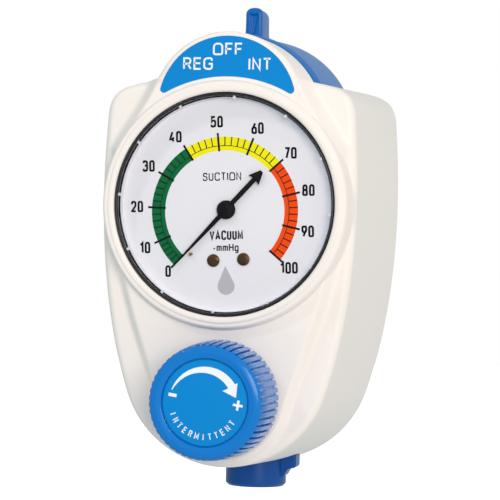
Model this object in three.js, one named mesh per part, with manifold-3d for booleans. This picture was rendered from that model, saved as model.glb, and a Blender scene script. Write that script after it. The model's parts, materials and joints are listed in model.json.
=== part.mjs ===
// A wall-mounted intermittent suction regulator: a vacuum gauge, a rotary mode selector, a regulating knob
// and a bayonet outlet in one housing. Millimetres. +X is the user's right, +Y runs back to the wall, +Z is up.
// The origin is the centre of the rear port's mouth, on the housing's rear face.
import * as THREE from "three";
import { mergeVertices } from "three/addons/utils/BufferGeometryUtils.js";
import Module from "manifold-3d";

const wasm = await Module();
wasm.setup();

// ---------- driving dimensions ----------
// Every group below is built with y = 0 on the gauge bezel's front plane, so y is a depth into the unit.
const DEPTH = 80;            // bezel plane to rear face
const WALL = 2.5;            // moulded housing wall
const GAP = 0.3;             // assembly clearance between moulded pieces

const HALF_WIDTH = 39;       // housing half width at its front edge
const HALF_HEIGHT = 58.5;    // housing half height there, without the dome
const MIDDLE_Z = -20.5;      // middle of that height
const DRAFT = 3.3;           // growth of the outline from the front edge to the rear face
const SHOULDER_Y = 6.5;      // depth of the housing's front face beside the dome
const EDGE_ROUND = 2.4;      // rounding of the housing's front edge
const BACK_PLATE = 3.4;      // thickness of the rear plate

const DOME_Z = 29.4;         // centre of the dome's arc
const DOME_R = 22.5;
const DOME_TOP = 51.9;
const DOME_Y = 1.5;          // depth of the dome's face
const DOME_BACK = 12.7;      // depth of the dome's rear edge, in front of the selector drum
const DOME_FLARE = 0.25;     // growth of the dome from face to rear edge

const BEZEL_R = 33.3;
const SURROUND_R = 37;
const DIAL_Z = -1.5;         // pointer axis, a little below the bezel's centre
const DIAL_TURN = 3.5;       // degrees by which the dial sits turned anticlockwise
const DIAL_R = 31.5;
const SCALE_START = -134;    // pointer angle at 0, clockwise from the dial's own top
const SCALE_SWEEP = 267.9;

const KNOB_Z = -58.1;
const KNOB_R = 17.8;
const KNOB_FLUTES = 30;

const DRUM_Z = 24.5;         // selector axis
const DRUM_FRONT = 13.2;
const DRUM_BACK = 60;
const DRUM_R_FRONT = 27.6;
const DRUM_R_BACK = 30.6;
const LEVER_TOP = 63.9;
const LEVER_HALF = 2.65;

const OUTLET_Y = 62;         // outlet axis
const COLLAR_R = 9.8;
const COLLAR_TOP = -78.7;
const COLLAR_BOTTOM = -89.2;
const SEAT_R = 14.3;         // round seat in the housing's underside for the collar and its tab
const SEAT_Z = -78.3;

const SCREW_SPOTS = [[-33, 27], [33, 27], [-25.5, -58], [25.5, -58]];
const NEEDLE_X = -26;
const NEEDLE_Z = [-16, -36];

// ---------- materials ----------
const finish = (color, roughness, metalness = 0, more = {}) =>
  new THREE.MeshStandardMaterial({ color, roughness, metalness, ...more });
const white = finish("#ece7df", 0.35);
const blue = finish("#1c72c9", 0.35);
const labelBlue = finish("#0a8ad8", 0.4);
const black = finish("#15161c", 0.4);
const dialWhite = finish("#e3e4ea", 0.5);
const glass = finish("#ffffff", 0.05, 0, { transparent: true, opacity: 0.2 });
const brass = finish("#b08a45", 0.35, 1);
const steel = finish("#b9bcc0", 0.3, 1);
const rubber = finish("#26262a", 0.8);
const grey = finish("#8d9499", 0.5);
const clearTube = finish("#dfe6ea", 0.3, 0, { transparent: true, opacity: 0.6 });

// ---------- solids ----------
// A three.js geometry as a manifold solid, turned right side out if its profile ran the other way.
function solidOf(geometry) {
  const bare = geometry.clone();
  bare.deleteAttribute("normal");
  bare.deleteAttribute("uv");
  const merged = mergeVertices(bare, 1e-3);
  const make = (indices) =>
    new wasm.Manifold(
      new wasm.Mesh({ numProp: 3, vertProperties: merged.attributes.position.array, triVerts: indices }),
    );
  const indices = new Uint32Array(merged.index.array);
  const solid = make(indices);
  return solid.volume() > 0 ? solid : make(indices.reverse());
}

function geometryOf(solid) {
  const mesh = solid.simplify(0.04).getMesh();
  const positions = new Float32Array(mesh.numVert * 3);
  for (let i = 0; i < mesh.numVert; i++) {
    positions.set(mesh.vertProperties.subarray(i * mesh.numProp, i * mesh.numProp + 3), i * 3);
  }
  const geometry = new THREE.BufferGeometry();
  geometry.setAttribute("position", new THREE.BufferAttribute(positions, 3));
  geometry.setIndex(new THREE.BufferAttribute(mesh.triVerts, 1));
  geometry.computeVertexNormals();
  return geometry;
}

const union = (...solids) => solids.reduce((sum, next) => sum.add(next));
const cut = (solid, ...tools) => tools.reduce((rest, tool) => rest.subtract(tool), solid);
const shift = (solid, x, y, z) => solid.translate([x, y, z]);

// A box between two corners.
function box(x0, x1, y0, y1, z0, z1) {
  const geometry = new THREE.BoxGeometry(x1 - x0, y1 - y0, z1 - z0);
  return solidOf(geometry.translate((x0 + x1) / 2, (y0 + y1) / 2, (z0 + z1) / 2));
}

// A turned piece about the Y axis: profile is a list of [radius, y].
function turned(profile, segments = 22) {
  const points = profile.map(([r, y]) => new THREE.Vector2(r, y));
  const onAxis = profile[0][0] === 0;
  if (!onAxis) points.push(points[0].clone());
  return solidOf(new THREE.LatheGeometry(points, segments));
}

// The same about the Z axis: profile is a list of [radius, z].
const turnedZ = (profile, segments) => turned(profile, segments).rotate([90, 0, 0]);

const rod = (radius, y0, y1, segments = 14) => turned([[0, y0], [radius, y0], [radius, y1], [0, y1]], segments);
const tube = (inner, outer, y0, y1, segments = 22) =>
  turned([[inner, y0], [outer, y0], [outer, y1], [inner, y1]], segments);
const at = (solid, x, z) => shift(solid, x, 0, z);

// A shape drawn in x and z, extruded from y0 to y1. bevel rounds both ends.
function plate(shape, y0, y1, bevel = 0, curveSegments = 8, bevelSegments = 2) {
  const geometry = new THREE.ExtrudeGeometry(shape, {
    depth: y1 - y0 - 2 * bevel,
    curveSegments,
    bevelEnabled: bevel > 0,
    bevelThickness: bevel,
    bevelSize: bevel,
    bevelOffset: -bevel,
    bevelSegments,
  });
  return solidOf(geometry.rotateX(Math.PI / 2).translate(0, y1 - bevel, 0));
}

// A shape drawn in y and z, extruded both ways along x, its ends rounded by bevel.
function sideways(shape, half, bevel) {
  const geometry = new THREE.ExtrudeGeometry(shape, {
    depth: 2 * (half - bevel),
    curveSegments: 4,
    bevelThickness: bevel,
    bevelSize: bevel,
    bevelOffset: -bevel,
    bevelSegments: 2,
  });
  const axes = [new THREE.Vector3(0, 1, 0), new THREE.Vector3(0, 0, 1), new THREE.Vector3(1, 0, 0)];
  return solidOf(geometry.translate(0, 0, bevel - half).applyMatrix4(new THREE.Matrix4().makeBasis(...axes)));
}

// Moves each vertex of a solid by a function of its place.
const bend = (solid, move) => solid.warp((v) => {
  const [x, y, z] = move(v[0], v[1], v[2]);
  v[0] = x;
  v[1] = y;
  v[2] = z;
});

// A round wire or tube along a curve.
function wire(curve, radius, steps, sides) {
  const section = new THREE.Shape();
  section.absarc(0, 0, radius, 0, 2 * Math.PI);
  const points = section.getPoints(sides / 2);
  const geometry = new THREE.ExtrudeGeometry(new THREE.Shape(points.slice(0, -1)), {
    steps,
    extrudePath: curve,
    bevelEnabled: false,
  });
  return solidOf(geometry);
}

// A helical spring about the Y axis between y0 and y1.
class Helix extends THREE.Curve {
  constructor(radius, y0, y1, turns) {
    super();
    Object.assign(this, { radius, y0, y1, turns });
  }
  getPoint(t, target = new THREE.Vector3()) {
    const angle = 2 * Math.PI * this.turns * t;
    return target.set(
      this.radius * Math.cos(angle),
      THREE.MathUtils.lerp(this.y0, this.y1, t),
      this.radius * Math.sin(angle),
    );
  }
}
const spring = (radius, wireRadius, y0, y1, turns, stepsPerTurn = 12) =>
  wire(new Helix(radius, y0 + wireRadius, y1 - wireRadius, turns), wireRadius, turns * stepsPerTurn, 6);

function addPiece(group, name, solid, material) {
  const mesh = new THREE.Mesh(geometryOf(solid), material);
  mesh.name = name;
  group.add(mesh);
  return mesh;
}

const degrees = THREE.MathUtils.degToRad;
const polar = (radius, clockwise) => [radius * Math.sin(degrees(clockwise)), radius * Math.cos(degrees(clockwise))];

// ---------- housing outlines ----------
// Mirrors the right half of an outline, given as a THREE.Path from the top to the bottom of the x = 0 line.
function mirrored(half, divisions) {
  const right = half.getPoints(divisions);
  const left = right.slice(1, -1).reverse().map((p) => new THREE.Vector2(-p.x, p.y));
  return new THREE.Shape([...right, ...left]);
}

function bodyOutline() {
  const half = new THREE.Path();
  half.moveTo(0, 39.2);
  half.quadraticCurveTo(16, 39.2, 28, 36.7);
  half.bezierCurveTo(34.8, 35.3, 37.9, 33.4, 38.1, 26);
  half.bezierCurveTo(40.1, 0, 39.2, -29.6, 30.6, -56.4);
  half.absarc(0, -47, 32, degrees(-17), degrees(-90), true);
  return mirrored(half, 5);
}

// The dome's front outline: an arc on top, flanks that run into the gauge surround, and a flat foot hidden behind it.
function domeOutline(inset = 0) {
  const half = new THREE.Path();
  half.absarc(0, DOME_Z, DOME_R - inset, degrees(90), degrees(22.5), true);
  half.bezierCurveTo(23.8 - inset, 30.6, 30.3 - inset, 22.4, 33.3 - inset, 16.1);
  half.lineTo(0, 14);
  return mirrored(half, 5);
}

// The tapered panel between the gauge surround and the knob.
function lowerPanelOutline() {
  const half = new THREE.Path();
  half.moveTo(0, -10);
  half.lineTo(32.8, -12);
  half.bezierCurveTo(31, -27, 22.8, -47, 18.3, -63.2);
  half.absarc(0, KNOB_Z, 19, degrees(-15), degrees(-90), true);
  return mirrored(half, 5);
}

// Grows the outline towards the rear, as the mould's draft does.
function drafted(solid) {
  return bend(solid, (x, y, z) => {
    const growth = DRAFT * THREE.MathUtils.clamp((y - 8) / (DEPTH - 8), 0, 1.2);
    return [x * (1 + growth / HALF_WIDTH), y, MIDDLE_Z + (z - MIDDLE_Z) * (1 + growth / HALF_HEIGHT)];
  });
}

// The outline scaled to sit a given distance inside itself.
function inset(shape, distance) {
  const points = shape.getPoints(1).map(
    (p) => new THREE.Vector2(
      p.x * (1 - distance / HALF_WIDTH),
      MIDDLE_Z + (p.y - MIDDLE_Z) * (1 - distance / HALF_HEIGHT),
    ),
  );
  return new THREE.Shape(points);
}

// The dome grows towards its rear edge about its own top.
const flared = (solid) => bend(solid, (x, y, z) => {
  const scale = 1 + DOME_FLARE * (y - DOME_Y) / (DOME_BACK - DOME_Y);
  return [x * scale, y, DOME_TOP + (z - DOME_TOP) * scale];
});

// The panel's face leans back towards the knob.
const leaning = (solid) => bend(solid, (x, y, z) => [x, y + Math.max(0, -36 - z) * 0.05, z]);

const drumCut = (clearance, y0, y1) => at(
  turned([
    [0, y0], [DRUM_R_FRONT + clearance, y0], [DRUM_R_BACK + clearance, y1], [0, y1],
  ], 36),
  0, DRUM_Z,
);

function frontCover() {
  const outline = bodyOutline();
  const rear = box(-60, 60, SHOULDER_Y, DEPTH, -100, 60);
  const body = drafted(plate(outline, SHOULDER_Y, DEPTH + 10, EDGE_ROUND, 1)).intersect(rear);
  const dome = flared(plate(domeOutline(), DOME_Y, DOME_BACK)).intersect(box(-38, 38, 0, 20, 16, 60));
  const surround = turned([
    [0, -0.3], [35, -0.3], [36.4, 0.1], [SURROUND_R, 0.9], [38.2, 6], [38.2, 9], [0, 9],
  ], 36);
  const panel = leaning(plate(lowerPanelOutline(), 2.6, 9));
  const shell = union(body, dome, surround, panel);

  const cavity = drafted(plate(inset(outline, WALL), SHOULDER_Y + WALL, DEPTH + 1));
  const domeCavity = flared(plate(domeOutline(2.2), DOME_Y + 2.2, DOME_BACK + 0.1))
    .intersect(box(-60, 60, 0, 20, 37, 60));
  const gaugeHole = rod(BEZEL_R + GAP, -5, 12, 36);
  const gaugeRoom = rod(BEZEL_R + GAP, 2, 14, 36);
  const knobHole = at(rod(5.3, 0, 14), 0, KNOB_Z);
  const legendPocket = plate(legendOutline(GAP / 2), 0, DOME_Y + 0.6, 0, 10);
  const drumSlot = drumCut(0.9, DRUM_FRONT - 0.5, DRUM_BACK + 1.2);
  const seat = shift(turnedZ([[0, -100], [SEAT_R, -100], [SEAT_R, SEAT_Z], [0, SEAT_Z]], 22), 0, OUTLET_Y, 0);
  const portHole = shift(turnedZ([[0, -100], [5.4, -100], [5.4, -60], [0, -60]], 14), 0, OUTLET_Y, 0);

  const hollow = cut(shell, cavity, domeCavity, gaugeRoom);
  const outer = drafted(plate(outline, SHOULDER_Y, DEPTH + 10, EDGE_ROUND, 1)).intersect(rear);
  const seatFloor = shift(
    turnedZ([[0, SEAT_Z - 3], [SEAT_R + 2, SEAT_Z - 3], [SEAT_R + 2, SEAT_Z + WALL], [0, SEAT_Z + WALL]], 22),
    0, OUTLET_Y, 0,
  ).intersect(outer).intersect(box(-30, 30, 0, DEPTH - BACK_PLATE - GAP, -100, 0));
  const bossEnd = DEPTH - BACK_PLATE - GAP;
  const bosses = SCREW_SPOTS.map(([x, z]) =>
    union(rod(3.6, 58, bossEnd, 14), box(Math.min(0, x / 4), Math.max(0, x / 4), 58, bossEnd, -1.2, 1.2))
      .translate([x, 0, z])
      .intersect(outer),
  );
  const pilots = SCREW_SPOTS.map(([x, z]) => at(rod(1.5, 62, DEPTH, 10), x, z));
  const frameBosses = [-1, 1].map((side) => at(rod(3, SHOULDER_Y + 1.5, 29.7, 10), side * 24.5, -47));
  const framePilots = [-1, 1].map((side) => at(rod(1.4, 20, 40, 10), side * 24.5, -47));
  const whole = union(hollow, seatFloor, ...bosses, ...frameBosses);
  return cut(whole, gaugeHole, knobHole, legendPocket, drumSlot, seat, portHole, ...pilots, ...framePilots);
}

// The crescent that carries the mode marks: the dome's own arc outside and the gauge's inside, with round tips.
function legendOutline(grow = 0) {
  const outer = 21.1 + grow;
  const inner = 38.3 - grow;
  const half = new THREE.Path();
  half.absarc(0, DOME_Z, outer, degrees(90), degrees(14), true);
  half.bezierCurveTo(21.6 + grow, 32.2 - grow, 20.2 + grow, 31.2 - grow, inner * Math.sin(degrees(29.5)),
    inner * Math.cos(degrees(29.5)));
  half.absarc(0, 0, inner, degrees(90 - 29.5), degrees(90), false);
  return mirrored(half, 5);
}

function backPlate() {
  const outline = inset(bodyOutline(), WALL + GAP);
  const body = drafted(plate(outline, DEPTH - BACK_PLATE, DEPTH));
  const holes = SCREW_SPOTS.map(([x, z]) => at(rod(1.9, 70, 90, 10), x, z));
  const heads = SCREW_SPOTS.map(([x, z]) => at(rod(3.6, DEPTH - 1.6, 90, 14), x, z));
  const portHole = rod(8.5, 70, 90, 22);
  const needleHoles = NEEDLE_Z.map((z) => at(rod(3.1, 70, 90, 14), NEEDLE_X, z));
  const breather = [0, 1, 2].map((i) => box(-8, 8, 70, 90, -66 + i * 3, -64.6 + i * 3));
  return cut(body, ...holes, ...heads, portHole, ...needleHoles, ...breather);
}

function coverScrew() {
  const head = turned([[0, 76.4], [1.4, 76.4], [1.7, DEPTH - 1.5], [3.3, DEPTH - 1.5], [3.2, DEPTH - 0.4], [0, DEPTH - 0.1]], 14);
  const shank = rod(1.35, 63, 77, 10);
  const recess = union(box(-2, 2, DEPTH - 1.1, 90, -0.4, 0.4), box(-0.4, 0.4, DEPTH - 1.1, 90, -2, 2));
  return cut(union(head, shank), recess);
}

// ---------- gauge ----------
const CASE_BACK = 27;
const BOURDON_R = 18;
const SECTOR_X = 12;         // sector pivot's distance from the pointer arbor
const GEAR_MODULE = 0.4;
const PINION_TEETH = 10;
const SECTOR_TEETH = 50;     // on the full circle
const TAIL = 3.2;            // sector pivot to link pin
const TUBE_TIP = -37;        // angle of the tube's free end, anticlockwise from the right

// A toothed wheel, or the part of one between two tooth numbers, as an outline about its own centre.
function gearOutline(teeth, module, first, last, phase) {
  const pitch = (teeth * module) / 2;
  const root = pitch - 1.3 * module;
  const tip = pitch + 0.8 * module;
  const step = (2 * Math.PI) / teeth;
  const points = [];
  for (let tooth = first; tooth <= last; tooth++) {
    const middle = phase + tooth * step;
    const corners = [[root, -0.28], [pitch, -0.17], [tip, -0.09], [tip, 0.09], [pitch, 0.17], [root, 0.28]];
    for (const [radius, share] of corners) {
      const angle = middle + share * step;
      points.push(new THREE.Vector2(radius * Math.cos(angle), radius * Math.sin(angle)));
    }
  }
  return points;
}

function pointerArbor() {
  const pinion = plate(new THREE.Shape(gearOutline(PINION_TEETH, GEAR_MODULE, 0, PINION_TEETH - 1, 0)), 12, 14);
  return union(rod(0.7, 4.9, 16.9, 10), pinion);
}

// At rest the sector stands at one end of its swing. Its teeth are in mesh with the pinion there.
function sectorGear() {
  const swing = SCALE_SWEEP * (PINION_TEETH / SECTOR_TEETH);
  const step = (2 * Math.PI) / SECTOR_TEETH;
  const middle = Math.PI - degrees(swing / 2);
  const meshPhase = Math.PI + step / 2;
  const reach = Math.round((middle - meshPhase) / step);
  const rim = gearOutline(SECTOR_TEETH, GEAR_MODULE, reach - 5, reach + 5, meshPhase);
  const spread = degrees(swing / 2);
  const arm = [
    new THREE.Vector2(1.6 * Math.cos(middle - 1.2), 1.6 * Math.sin(middle - 1.2)),
    ...rim,
    new THREE.Vector2(1.6 * Math.cos(middle + 1.2), 1.6 * Math.sin(middle + 1.2)),
  ];
  const blade = plate(new THREE.Shape(arm), 12.2, 13.8);
  const tailEnd = [TAIL * Math.cos(-spread), TAIL * Math.sin(-spread)];
  const tail = union(
    plate(roundedBar([0, 0], tailEnd, 1.4), 12.2, 13.8),
    at(rod(1.6, 12.2, 13.8, 14), 0, 0),
  );
  const shaft = rod(0.8, 8.6, 16.9, 10);
  const pin = at(rod(0.5, 13.8, 15.2, 10), tailEnd[0], tailEnd[1]);
  return union(blade, tail, shaft, pin);
}

// A bar with round ends between two points of the x, z plane.
function roundedBar([x0, z0], [x1, z1], radius) {
  const angle = Math.atan2(z1 - z0, x1 - x0);
  const shape = new THREE.Shape();
  shape.absarc(x0, z0, radius, angle + Math.PI / 2, angle + (3 * Math.PI) / 2, false);
  shape.absarc(x1, z1, radius, angle - Math.PI / 2, angle + Math.PI / 2, false);
  return new THREE.Shape(shape.getPoints(6).slice(0, -1));
}

function bourdonTube() {
  const arc = new THREE.Curve();
  const start = degrees(249.7);
  const sweep = start - degrees(TUBE_TIP);
  arc.getPoint = (t, target = new THREE.Vector3()) => {
    const angle = start - sweep * t;
    return target.set(BOURDON_R * Math.cos(angle), 19.5, BOURDON_R * Math.sin(angle));
  };
  const tip = polar(BOURDON_R, 90 - TUBE_TIP);
  return union(wire(arc, 1.3, 32, 6), at(rod(1.6, 17.6, 20.9), ...tip), at(rod(0.5, 13.8, 18, 10), ...tip));
}

function hairspring() {
  const turns = 3;
  const steps = turns * 12;
  const edge = (offset) => Array.from({ length: steps + 1 }, (_, i) => {
    const angle = (2 * Math.PI * turns * i) / steps;
    const radius = 1.3 + (3.6 * i) / steps + offset;
    return new THREE.Vector2(radius * Math.cos(angle), radius * Math.sin(angle));
  });
  return plate(new THREE.Shape([...edge(0.12), ...edge(-0.12).reverse()]), 10.9, 11.6);
}

function pointer() {
  const blade = new THREE.Shape();
  blade.moveTo(-0.9, 1.6);
  blade.lineTo(-0.22, 23.4);
  blade.lineTo(0.22, 23.4);
  blade.lineTo(0.9, 1.6);
  const tail = new THREE.Shape();
  tail.moveTo(-0.75, -1.6);
  tail.lineTo(0.75, -1.6);
  tail.lineTo(0.75, -11.2);
  tail.lineTo(1.9, -12.1);
  tail.lineTo(0, -14.3);
  tail.lineTo(-1.9, -12.1);
  tail.lineTo(-0.75, -11.2);
  const hub = turned([[0, 3.5], [2.2, 3.5], [2.8, 3.8], [2.8, 4.6], [0, 4.6]], 14);
  return union(plate(blade, 3.85, 4.25), plate(tail, 3.85, 4.25), hub);
}

function buildGauge(unit) {
  const front = new THREE.Group();
  unit.add(front);
  addPiece(front, "bezel_ring", turned([
    [31.9, 0.3], [32.2, 0], [33, 0], [BEZEL_R, 0.4], [BEZEL_R, 8], [32.9, 8], [32.9, 1.1], [31.9, 1.1],
  ], 36), black);
  addPiece(front, "gauge_lens", rod(32.7, 1.25, 3.2, 36), glass);
  addPiece(front, "lens_gasket", tube(31, 32.7, 3.3, 4.4, 36), rubber);

  const works = new THREE.Group();
  works.position.z = DIAL_Z;
  unit.add(works);
  const spots = [-4.6, 4.6].map((x) => turnedSpot(x, -15.05));
  const pinSpot = turnedSpot(...polar(17.1, -138.6));
  const shell = turned([
    [22, 4.6 + 4], [31.2, 4.6 + 4], [31.2, 10], [23.5, 10], [23.5, CASE_BACK], [0, CASE_BACK],
    [0, CASE_BACK - 1.5], [22, CASE_BACK - 1.5],
  ], 36);
  addPiece(works, "gauge_case", cut(shell, at(rod(5.6, 20, 30, 14), 0, -16)), black);

  const dial = rod(DIAL_R - Math.abs(DIAL_Z), 5, 5.6, 36);
  const dialHoles = spots.map(([x, z]) => at(rod(1, 0, 10, 10), x, z));
  addPiece(works, "gauge_dial", cut(dial, ...dialHoles, rod(1.4, 0, 10, 14), at(rod(0.7, 0, 10, 10), ...pinSpot)), dialWhite);
  ["left", "right"].forEach((side, i) => {
    const screw = union(turned([[0, 4.5], [1.7, 4.6], [1.95, 4.95], [0, 4.95]], 14), rod(0.8, 4.9, 8.8, 10));
    const slot = box(-2, 2, 4, 4.75, -0.25, 0.25);
    addPiece(works, `dial_screw_${side}`, at(cut(screw, slot), ...spots[i]), brass);
  });
  addPiece(works, "zero_stop_pin", at(rod(0.5, 3.6, 7, 10), ...pinSpot), brass);

  const blade = addPiece(works, "gauge_pointer", pointer(), black);
  blade.rotation.y = degrees(SCALE_START - DIAL_TURN);
  addPiece(works, "pointer_arbor", pointerArbor(), brass);
  addPiece(works, "hairspring", hairspring(), brass);

  const frameShape = new THREE.Shape();
  frameShape.moveTo(-7, -7);
  frameShape.lineTo(14.5, -7);
  frameShape.lineTo(14.5, 7);
  frameShape.lineTo(-7, 7);
  const pivots = [at(rod(0.85, 0, 30, 10), 0, 0), at(rod(0.95, 0, 30, 10), SECTOR_X, 0)];
  const posts = [[-5, -5], [-5, 5]];
  const postHoles = posts.map(([x, z]) => at(rod(1, 0, 30, 10), x, z));
  addPiece(works, "movement_front_plate", cut(plate(frameShape, 9.2, 10.2), ...pivots, ...postHoles), brass);
  addPiece(works, "movement_back_plate", cut(plate(frameShape, 15.6, 16.6), ...pivots, ...postHoles), brass);
  ["lower", "upper"].forEach((place, i) => {
    const post = union(rod(0.85, 8.9, 16.9, 10), rod(1.7, 10.4, 15.4, 10), rod(1.7, 8.2, 9, 10));
    addPiece(works, `movement_pillar_${place}`, at(post, ...posts[i]), brass);
  });

  const sector = new THREE.Group();
  sector.position.x = SECTOR_X;
  works.add(sector);
  addPiece(sector, "sector_gear", sectorGear(), brass);
  const swing = degrees((SCALE_SWEEP * PINION_TEETH) / SECTOR_TEETH / 2);
  const linkPin = [TAIL * Math.cos(-swing), TAIL * Math.sin(-swing)];
  const tubeTip = [BOURDON_R * Math.cos(degrees(TUBE_TIP)) - SECTOR_X, BOURDON_R * Math.sin(degrees(TUBE_TIP))];
  const pinHoles = [linkPin, tubeTip].map((spot) => at(rod(0.62, 0, 30, 10), ...spot));
  const link = cut(plate(roundedBar(linkPin, tubeTip, 1.1), 14.2, 14.9), ...pinHoles);
  addPiece(sector, "sector_link", link, brass);
  addPiece(works, "bourdon_tube", bourdonTube(), brass);

  const legs = spots.map(([x, z]) => at(rod(1.9, 5.8, 12, 14), x, z));
  const taps = spots.map(([x, z]) => at(rod(0.9, 0, 9.5, 10), x, z));
  const block = union(box(-5.6, 5.6, 11.5, 24, -20.6, -11.4), ...legs, at(rod(4.7, 22, 33, 14), 0, -16));
  addPiece(works, "gauge_socket", cut(block, ...taps, at(rod(1.5, 14, 40, 10), 0, -16)), brass);
}

// A place on the dial, turned with it.
function turnedSpot(x, z) {
  const a = degrees(DIAL_TURN);
  return [x * Math.cos(a) - z * Math.sin(a), x * Math.sin(a) + z * Math.cos(a)];
}

// ---------- selector ----------
const WEB_Y = [44.5, 47];
const HUB_R = 9;
const MODE_ANGLE = 30;

// Keeps the part of a solid within an angle of the upward direction.
function upperSector(halfAngle, y0, y1) {
  const reach = 60;
  const shape = new THREE.Shape();
  shape.moveTo(0, 0);
  for (let a = -halfAngle; a <= halfAngle + 0.01; a += halfAngle / 8) shape.lineTo(...polar(reach, a));
  return plate(shape, y0, y1);
}

function selectorLever() {
  const rim = turned([
    [24.8, DRUM_FRONT], [DRUM_R_FRONT - 0.4, DRUM_FRONT], [DRUM_R_FRONT, DRUM_FRONT + 0.4],
    [DRUM_R_FRONT + 0.1, 14.6], [DRUM_R_FRONT - 0.5, 15], [DRUM_R_FRONT + 0.1, 15.4],
    [DRUM_R_BACK, DRUM_BACK - 0.5], [DRUM_R_BACK - 0.6, DRUM_BACK], [28, DRUM_BACK],
  ], 36);
  const cap = rim.intersect(upperSector(90, 0, 70));
  const web = tube(HUB_R - 1, 27, WEB_Y[0], WEB_Y[1], 36).intersect(upperSector(88, 0, 70));
  const notches = [-MODE_ANGLE, 0, MODE_ANGLE].map((a) => at(rod(1.5, 0, 70, 10), ...polar(HUB_R + 0.3, 180 + a)));
  const hub = cut(rod(HUB_R, 43.6, 50, 36), ...notches);
  const side = new THREE.Shape();
  side.moveTo(41, 14);
  side.lineTo(41, LEVER_TOP - DRUM_Z - 1.6);
  side.quadraticCurveTo(41, LEVER_TOP - DRUM_Z, 42.6, LEVER_TOP - DRUM_Z);
  side.lineTo(51, LEVER_TOP - DRUM_Z - 0.8);
  side.quadraticCurveTo(54, LEVER_TOP - DRUM_Z - 1, 54, LEVER_TOP - DRUM_Z - 4);
  side.lineTo(54, 14);
  const bar = sideways(side, LEVER_HALF, 0.8).intersect(box(-9, 9, 40, 55, 24.5, 60));
  return cut(union(cap, web, hub, bar), rod(3.1, 40, 60));
}

function buildSelector(unit) {
  const group = new THREE.Group();
  group.position.z = DRUM_Z;
  unit.add(group);
  addPiece(group, "selector_lever", selectorLever(), blue);
  addPiece(group, "selector_spindle", union(rod(2.9, 29, 52, 14), tube(2.5, 4.6, 50.4, 51.6, 14)), steel);
  const rotor = turned([
    [3.1, 33.3], [7.9, 33.3], [7.9, 35.2], [6.9, 35.2], [6.9, 37], [7.9, 37], [7.9, 38.2], [3.1, 38.2],
  ], 22);
  const channel = box(4, 5.6, 30, 34.5, -4, 4);
  addPiece(group, "selector_rotor", cut(rotor, channel), grey);
  addPiece(group, "rotor_o_ring", turned(ringSection(7.55, 0.5, 36.1), 22), rubber);
  addPiece(group, "rotor_cap", tube(3.2, 7.9, 38.6, 41.4, 22), steel);

  const leaf = new THREE.Shape();
  leaf.moveTo(-12, -15.2);
  leaf.lineTo(-9, -12.3);
  leaf.lineTo(-2.2, -10.6);
  leaf.lineTo(0, -9);
  leaf.lineTo(2.2, -10.6);
  leaf.lineTo(9, -12.3);
  leaf.lineTo(12, -15.2);
  leaf.lineTo(11.4, -15.8);
  leaf.lineTo(8.7, -12.9);
  leaf.lineTo(2.1, -11.3);
  leaf.lineTo(0, -9.8);
  leaf.lineTo(-2.1, -11.3);
  leaf.lineTo(-8.7, -12.9);
  leaf.lineTo(-11.4, -15.8);
  addPiece(group, "detent_spring", plate(leaf, 44.8, 46.8), steel);
}

// A round section for an O-ring's lathe: centre radius, wire radius, place along the axis.
function ringSection(radius, wireRadius, y, sides = 8) {
  return Array.from({ length: sides }, (_, i) => {
    const a = (2 * Math.PI * i) / sides;
    return [radius + wireRadius * Math.cos(a), y + wireRadius * Math.sin(a)];
  });
}

// ---------- regulator ----------
function regulatingKnob() {
  const outer = turned([
    [0, -19.4], [12.9, -19.4], [13, -20.3], [14.6, -20.4], [16.2, -19.5], [17.1, -17.6],
    [17.3, -15], [KNOB_R, 2.3], [15.6, 2.3], [15.3, -14.6], [6.4, -14.6], [6.4, -3.6], [0, -3.6],
  ], 36);
  const flute = rod(0.75, -15.6, 1.2, 4);
  const flutes = Array.from({ length: KNOB_FLUTES }, (_, i) => at(flute, ...polar(KNOB_R - 0.12, (360 * i) / KNOB_FLUTES)));
  const bore = rod(2.95, -15.5, 10, 14);
  const screwWay = union(rod(1.6, -30, 0, 14), rod(3, -19.5, -17, 14));
  return cut(outer, ...flutes, bore, screwWay, rod(12.7, -25, -19.4, 36));
}

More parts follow.
